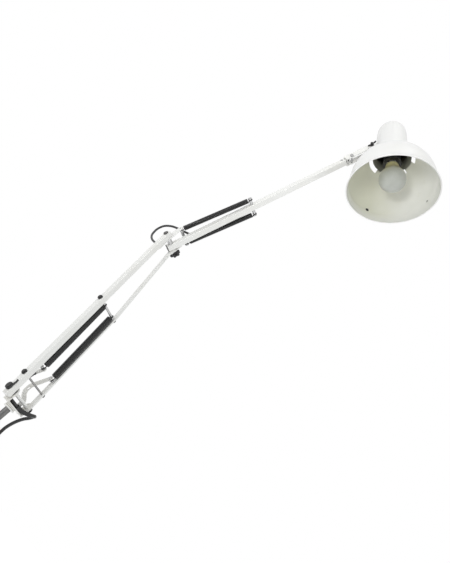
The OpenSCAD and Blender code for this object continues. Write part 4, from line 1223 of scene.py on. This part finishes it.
# Lamp head
@dataclass
class LampShade(Part):
    """The spun shade: rolled rim, flare, dome, neck cup and crown, with four vent slots."""

    rim: float = 100.0
    dome: float = 95.0
    flare: float = 20.0
    height: float = 100.0
    cup: float = 35.0
    shoulder: float = 51.0
    straight: float = 166.0
    top: float = 229.0
    wall: float = 0.8
    bead: float = 1.5
    hole: float = 8.6
    vent_r: float = 47.0
    vent_half: float = 4.0
    vent_start: float = 45.0
    vent_span: float = 55.0
    vents_above: float = 50.0
    segments: int = 216
    steps: tuple[int, int, int, int] = (8, 115, 16, 48)

    def wall_line(self, inset: float) -> list[tuple[float, float]]:
        """The profile from the rim to the crown, with steps for the flare, dome, neck and crown.

        Args:
            inset: distance inside the outer face.

        Returns:
            Radius and height pairs.
        """
        line = []
        flare, dome, neck, crown = self.steps
        for k in range(flare + 1):
            share = k / flare
            line.append((self.dome + (self.rim - 0.9 - self.dome) * (1 - share) ** 1.6 - inset,
                         2 * self.bead + (self.flare - 2 * self.bead) * share))
        last = math.degrees(math.acos(self.shoulder / self.dome))
        for k in range(1, dome + 1):
            a = math.radians(last * k / dome)
            line.append(((self.dome - inset) * math.cos(a), self.flare + (self.height - inset) * math.sin(a)))
        low = Vector((self.shoulder, self.flare + self.height * math.sin(math.radians(last))))
        slope = self.height / self.dome / math.tan(math.radians(last))
        knee = Vector((self.cup, low.y + (self.shoulder - self.cup) * slope))
        high = Vector((self.cup, knee.y + (knee - low).length))
        for k in range(1, neck + 1):
            t = k / neck
            at = low * (1 - t) ** 2 + knee * 2 * t * (1 - t) + high * t * t
            along = ((knee - low) * (1 - t) + (high - knee) * t).normalized()
            line.append((at.x - inset * along.y, at.y + inset * along.x))
        for k in range(crown + 1):
            u = math.sin(QUARTER * k / crown) ** 0.8
            r = (self.cup - inset) * (1 - u ** 4) ** 0.36
            if r < self.hole + self.wall:
                break
            line.append((r, self.straight + (self.top - self.straight - inset) * u))
        line.append((self.hole, self.top - inset))
        return line

    def with_vents(self, line: list[tuple[float, float]]) -> list[tuple[float, float]]:
        """Adds profile places at both edges of the vent slots.

        Args:
            line: the profile.

        Returns:
            The profile with those places.
        """
        made = [line[0]]
        for a, b in zip(line, line[1:]):
            for edge in (self.vent_r + self.vent_half, self.vent_r - self.vent_half):
                if a[0] > edge > b[0] and a[1] > self.flare + self.vents_above:
                    t = (a[0] - edge) / (a[0] - b[0])
                    made.append((edge, a[1] + (b[1] - a[1]) * t))
            made.append(b)
        return made

    def build(self) -> None:
        """Makes the shade with its own outer and inner finish."""
        shape = Shape("spun_shade")
        outer = self.with_vents(self.wall_line(0))
        inner = self.with_vents(self.wall_line(self.wall))
        bead = [(self.rim - 0.5 + self.bead * math.cos(a), self.bead + self.bead * math.sin(a))
                for a in (math.radians(195 + 21 * k) for k in range(12))]
        n = self.segments
        outer_rings, inner_rings, bead_rings = (
            [shape.hoop(r, z, n, BONES.shade) for r, z in line] for line in (outer, inner, bead))
        for line, made, coat in ((outer, outer_rings, Coat.SHADE), (inner, inner_rings, Coat.LINING)):
            for i in range(len(line) - 1):
                for k in range(n):
                    if not self.cut_out(line, i, k):
                        m = (k + 1) % n
                        shape.face((made[i][k], made[i][m], made[i + 1][m], made[i + 1][k]), coat)
        self.slot_walls(shape, outer, inner, outer_rings, inner_rings)
        for a, b in zip(bead_rings, bead_rings[1:]):
            shape.skin(a, b, Coat.SHADE)
        shape.skin(bead_rings[-1], outer_rings[0], Coat.SHADE)
        shape.skin(inner_rings[0], bead_rings[0], Coat.LINING)
        shape.skin(outer_rings[-1], inner_rings[-1], Coat.SHADE)
        fit(shape.make(self.finishes, sharp=50.0), "lamp_head", "shade_paint", "shade")

    def cut_out(self, line: list[tuple[float, float]], i: int, k: int) -> bool:
        """Whether a face lies in a vent slot.

        Args:
            line: the profile.
            i: place on the profile.
            k: place round the axis.

        Returns:
            Whether it is left out.
        """
        if line[i][1] < self.flare + self.vents_above:
            return False
        r = (line[i][0] + line[i + 1][0]) / 2
        turn = ((k + 0.5) * 360 / self.segments - self.vent_start) % 90
        return abs(r - self.vent_r) < self.vent_half and turn < self.vent_span

    def slot_walls(self, shape: Shape, outer: list, inner: list, outer_rings: list,
                   inner_rings: list) -> None:
        """Closes the sheet's thickness round each vent slot.

        Args:
            shape: the shade's mesh.
            outer: outer profile.
            inner: inner profile.
            outer_rings: vertices of the outer face.
            inner_rings: vertices of the inner face.
        """
        n = self.segments
        rows_out, rows_in = (
            [i for i in range(len(line) - 1) if any(self.cut_out(line, i, k) for k in range(n))]
            for line in (outer, inner))
        first_out, last_out = rows_out[0], rows_out[-1] + 1
        first_in, last_in = rows_in[0], rows_in[-1] + 1
        steps = max(last_out - first_out, last_in - first_in)
        for k in range(n):
            if not self.cut_out(outer, first_out, k):
                continue
            m = (k + 1) % n
            for a, b in ((first_out, first_in), (last_out, last_in)):
                shape.face((outer_rings[a][k], outer_rings[a][m], inner_rings[b][m], inner_rings[b][k]),
                           Coat.SHADE)
            for side, other in ((k, (k - 1) % n), (m, m)):
                if self.cut_out(outer, first_out, other):
                    continue
                for s in range(steps):
                    a, b = (min(first_out + t, last_out) for t in (s, s + 1))
                    c, d = (min(first_in + t, last_in) for t in (s, s + 1))
                    shape.face((outer_rings[a][side], outer_rings[b][side], inner_rings[d][side],
                                inner_rings[c][side]), Coat.SHADE)


@dataclass
class Bulb(Part):
    """Pear-shaped pearl bulb and its screw cap in the lampholder."""

    radius: float = 30.0
    middle: float = 40.0
    ball_end: float = 30.0
    cap_top: float = 115.0
    cap_length: float = 27.0
    cap_r: float = 13.2
    thread_start: float = 4.0
    thread_pitch: float = 3.0
    thread_turns: int = 5
    turn_steps: int = 12

    def glass_line(self, join: float) -> list[tuple[float, float]]:
        """The profile of the glass: a ball, then one smooth curve into the neck.

        Args:
            join: height of the cap's edge.

        Returns:
            Radius and height pairs.
        """
        line = [(0.0, self.middle - self.radius)]
        for k in range(1, 41):
            a = math.radians(-90 + (90 + self.ball_end) * k / 40)
            line.append((self.radius * math.cos(a), self.middle + self.radius * math.sin(a)))
        x0, z0 = line[-1]
        x1, rise = self.cap_r + 1.4, join - 3 - z0
        for k in range(1, 17):
            u = k / 16
            bulge = (u ** 3 - 2 * u * u + u) * rise * -math.tan(math.radians(self.ball_end))
            waist = (u ** 3 - u * u) * rise * -0.15
            line.append((x0 + (x1 - x0) * (3 - 2 * u) * u * u + bulge + waist, z0 + rise * u))
        return line + [(self.cap_r - 0.2, join - 1.6), (self.cap_r - 0.6, join), (0.0, join)]

    def cap_line(self, join: float) -> list[tuple[float, float]]:
        """The profile of the cap: its edge, the waves of its thread and its contact.

        Args:
            join: height of the cap's edge.

        Returns:
            Radius and height pairs.
        """
        line = [(0.0, join), (self.cap_r - 0.5, join), (self.cap_r - 0.3, join + 3)]
        for k in range(self.thread_turns * self.turn_steps + 1):
            turns = k / self.turn_steps
            wave = 0.42 * math.cos(2 * math.pi * turns)
            line.append((self.cap_r - 0.45 + wave, join + self.thread_start + self.thread_pitch * turns))
        ends = ((self.cap_r - 0.8, 7), (9.0, 4), (6.0, 3), (5.0, 0), (0.0, 0))
        return line + [(r, join + self.cap_length - below) for r, below in ends]

    def build(self) -> None:
        """Makes the glass and the cap."""
        join = self.cap_top - self.cap_length
        glass = Shape("pearl_bulb")
        glass.lathe(self.glass_line(join), 96, Coat.GLASS, BONES.shade)
        fit(glass.make(self.finishes), "lamp_head", "bulb_glass", "bulb_glass")
        cap = Shape("screw_cap")
        cap.lathe(self.cap_line(join), 72, Coat.NICKEL, BONES.shade)
        fit(cap.make(self.finishes, sharp=60.0), "lamp_head", "bright_metal", "bulb_cap")


# Knobs
@dataclass
class StarKnob(Part):
    """Six-lobed knob at the elbow, with a domed face."""

    face: float = 12.7

    def build(self) -> None:
        """Makes the knob."""
        place = BONES.lower @ Matrix.Translation((0, 0, BONES.arm)) @ Matrix.Rotation(-QUARTER, 4, "X")
        y = self.face
        line = [(r, y + up) for r, up in (
            (0.0, 0.0), (7.2, 0.0), (7.5, 0.3), (7.5, 2.6), (9.6, 3.0), (10.6, 3.5), (11.0, 4.6), (11.1, 7.5),
            (10.9, 10.2), (10.2, 11.4), (9.0, 11.9), (6.4, 12.1), (6.0, 12.8), (5.0, 13.0), (0.0, 13.0))]

        def lobes(angle: float, height: float) -> float:
            """Six rounded lobes on the rim, none on the hub.

            Args:
                angle: round the axis.
                height: along the axis.

            Returns:
                The scale of the radius there.
            """
            if not y + 2.8 < height < y + 12.0:
                return 1.0
            return 0.92 + 0.21 * math.cos(6 * angle) - 0.02 * math.cos(12 * angle)

        shape = Shape("star_grip")
        shape.lathe(line, 144, Coat.PLASTIC, place, lobes)
        fit(shape.make(self.finishes, sharp=55.0), "elbow_knob", "black_plastic", "star_knob")


@dataclass
class WingKnob(Part):
    """Wing nut that clamps the tilt of the lamp head: a waisted hub and two thin, swept wings."""

    face: float = BONES.fork_face
    turn: float = -7.0
    hub: float = 4.6
    height: float = 7.5
    reach: float = 13.2
    wing_middle: float = 8.0
    wing_height: float = 3.7
    wing_half: float = 2.3
    sweep: float = 0.18

    def build(self) -> None:
        """Makes the knob."""
        outward = Matrix.Rotation(QUARTER, 4, "X")
        place = BONES.fork_frame @ Matrix.Translation((0, 0, BONES.fork)) @ turn_y(self.turn) @ outward
        place = place @ Matrix.Translation((0, 0, self.face))
        shape = Shape("wing_grip")
        top = self.height
        line = [(0.0, 0.0), (self.hub, 0.0), (self.hub, 0.9), (self.hub - 0.6, 1.6), (self.hub - 1.0, 3.0),
                (self.hub - 1.1, top - 1.0), (self.hub - 1.5, top - 0.3), (self.hub - 2.3, top), (0.0, top)]
        shape.lathe(line, 48, Coat.PLASTIC, place)
        for side in (-1, 1):
            rings = []
            for x, scale in ((-1.2, 0.72), (-1.0, 0.92), (-0.6, 1.0), (0.6, 1.0), (1.0, 0.92), (1.2, 0.72)):
                spots = []
                for k in range(32):
                    a = 2 * math.pi * k / 32
                    out = (self.reach - self.wing_middle) * scale * math.cos(a)
                    up = self.wing_half * scale * math.sin(a) * (1.0 + 0.22 * math.cos(a)) + self.sweep * out
                    spots.append(place @ Vector((x, side * (self.wing_middle + out), self.wing_height + up)))
                rings.append(shape.ring(spots))
            for a, b in zip(rings, rings[1:]):
                shape.skin(a, b, Coat.PLASTIC)
            shape.cap(rings[0], Coat.PLASTIC, flip=True)
            shape.cap(rings[-1], Coat.PLASTIC)
        fit(shape.make(self.finishes, sharp=60.0), "tilt_knob", "black_plastic", "wing_knob")


@dataclass
class Rivets(Part):
    """Domed rivet heads on the shade, the neck bracket and the elbow plate."""

    shade_at: float = 24.0
    shade_turns: tuple[float, float] = (33.0, 123.0)
    bracket_at: tuple[Point, ...] = ((9.0, 0.0, -9.0), (9.0, 0.0, 9.0))
    plate_at: tuple[Point, ...] = ((0.0, -20.55, 434.0), (0.0, -20.55, 420.0))

    def recipe(self) -> Recipe:
        """The Geometry Nodes tree that sets a domed head at each marked place."""
        recipe = Recipe("rivet_heads", head="Object", metal="Material")
        given = recipe.source.outputs
        head = recipe.add("GeometryNodeObjectInfo", None, {"Object": given["head"]})
        normal = recipe.add("GeometryNodeInputNormal")
        align = recipe.add("FunctionNodeAlignRotationToVector", {"axis": "Z"}, {"Vector": normal.outputs[0]})
        centres = recipe.add("GeometryNodeMeshToPoints", {"mode": "FACES"})
        keep = recipe.add("GeometryNodeCaptureAttribute", {"domain": "FACE"})
        keep.capture_items.new("ROTATION", "Facing")
        recipe.tree.links.new(given["Geometry"], keep.inputs[0])
        recipe.tree.links.new(align.outputs[0], keep.inputs[1])
        recipe.tree.links.new(keep.outputs[0], centres.inputs["Mesh"])
        placed = recipe.add("GeometryNodeInstanceOnPoints", None, {
            "Points": centres.outputs[0], "Instance": head.outputs["Geometry"], "Rotation": keep.outputs[1]})
        recipe.close(placed.outputs[0], given["metal"])
        return recipe

    def head(self, radius: float, height: float) -> bpy.types.Object:
        """One rivet head, with a short shank below it.

        Args:
            radius: of the head.
            height: of the dome.

        Returns:
            The head's object, to be removed once it is used.
        """
        line = [(0.0, -0.6), (radius * 0.55, -0.6), (radius * 0.6, 0.0), (radius * 0.96, 0.0)]
        for k in range(1, 9):
            a = math.radians(90 * k / 8)
            line.append((radius * math.cos(a) if k < 8 else 0.0, height * math.sin(a)))
        shape = Shape("rivet_head")
        shape.lathe(line, 24, Coat.ZINC, Matrix.Identity(4))
        return shape.make(self.finishes)

    def build(self) -> None:
        """Sets the rivets of the shade and of the elbow plate."""
        b = BONES
        shade = LampShade(self.finishes)
        r = shade.dome * math.sqrt(1 - ((self.shade_at - shade.flare) / shade.height) ** 2)
        shade_spots, screw_spots = [], []
        for turn, inner in zip(self.shade_turns, (shade_spots, screw_spots)):
            spin = Matrix.Rotation(math.radians(turn), 4, "Z")
            out = (b.shade @ spin).to_3x3() @ Vector((1, 0, 0))
            shade_spots.append((b.shade @ spin @ Vector((r + 0.02, 0, self.shade_at)), out))
            inner.append((b.shade @ spin @ Vector((r - 0.85, 0, self.shade_at)), -out))
        back = b.head.to_3x3() @ Vector((-1, 0, 0))
        shade_spots += [(b.head @ Vector(at), back) for at in self.bracket_at]
        plate_spots = [(b.lower @ Vector(at), Vector((0, 1, 0))) for at in self.plate_at]
        recipe = self.recipe()
        self.place("shade_rivet_set", recipe, shade_spots, (3.0, 1.1), "lamp_head", "shade_rivets")
        self.place("shade_screw_head", recipe, screw_spots, (4.2, 1.5), "lamp_head", "", Coat.RUBBER)
        self.place("elbow_rivet_set", recipe, plate_spots, (2.7, 1.2), "lower_arm", "elbow_rivets")

    def place(self, name: str, recipe: Recipe, spots: list[tuple[Vector, Vector]], size: tuple[float, float],
              body: str, node: str, coat: Coat = Coat.ZINC) -> None:
        """Puts one head at each spot.

        Args:
            name: the piece's name.
            recipe: the rivet recipe.
            spots: places and facings.
            size: radius and height of the heads.
            body: the body that carries them.
            node: the solid that they stand for, empty where another set stands for it.
            coat: their finish.
        """
        mesh = bpy.data.meshes.new(name)
        verts, faces = [], []
        for at, facing in spots:
            side = facing.orthogonal().normalized() * 0.05
            other = facing.cross(side)
            first = len(verts)
            verts += [(at + side) * MM, (at - side * 0.5 + other) * MM, (at - side * 0.5 - other) * MM]
            faces.append((first, first + 1, first + 2))
        mesh.from_pydata(verts, [], faces)
        piece = add_object(name, mesh)
        head = self.head(*size)
        recipe.apply(piece, head=head, metal=self.finishes[coat])
        bpy.data.objects.remove(head)
        fit(piece, body, "zinc_steel" if coat is Coat.ZINC else "black_plastic", *((node,) if node else ()))


# Carried-over solids
@dataclass
class Solids(Part):
    """Gives every carried-over solid the finish of its slot in the record, or its own where it differs."""

    by_slot: ClassVar[dict[str, Coat]] = {
        "white_paint": Coat.ARM, "shade_paint": Coat.SHADE, "dark_steel": Coat.DARK, "zinc_steel": Coat.ZINC,
        "bright_metal": Coat.NICKEL, "black_plastic": Coat.PLASTIC, "rubber_trim": Coat.RUBBER,
        "spring_wire": Coat.SPRING, "cord_sheath": Coat.CORD, "bulb_glass": Coat.GLASS}
    by_name: ClassVar[dict[str, Coat]] = {
        # The yoke and spring bracket take the darker enamel copy, which is painted shade.
        "base_yoke": Coat.SHADED_YOKE, "spring_bracket": Coat.SHADED_YOKE, "tie_rod": Coat.STEEL, "spring_bar": Coat.ZINC,
        "upper_anchor_pin": Coat.ZINC, "upper_spring_pin": Coat.ZINC}

    def build(self) -> None:
        """Dresses the solids."""
        for row in frame["record"]["subparts"]:
            name = row["node"]
            materials = frame["nodes"][name].data.materials
            materials.clear()
            materials.append(self.finishes[self.by_name.get(name, self.by_slot[row["material_slot"]])])


def main() -> None:
    """Builds the camera, cords, room and every sub-assembly in order."""
    logging.basicConfig(level=logging.INFO, format="%(message)s")
    Viewpoint().build()
    finishes = Finishes()
    MainsCord(finishes).build()
    Leads(finishes).build()
    Studio().build()
    for part in (Solids, Springs, LampShade, Bulb, StarKnob, WingKnob, Rivets):
        part(finishes).build()


if __name__ == "__main__":
    main()
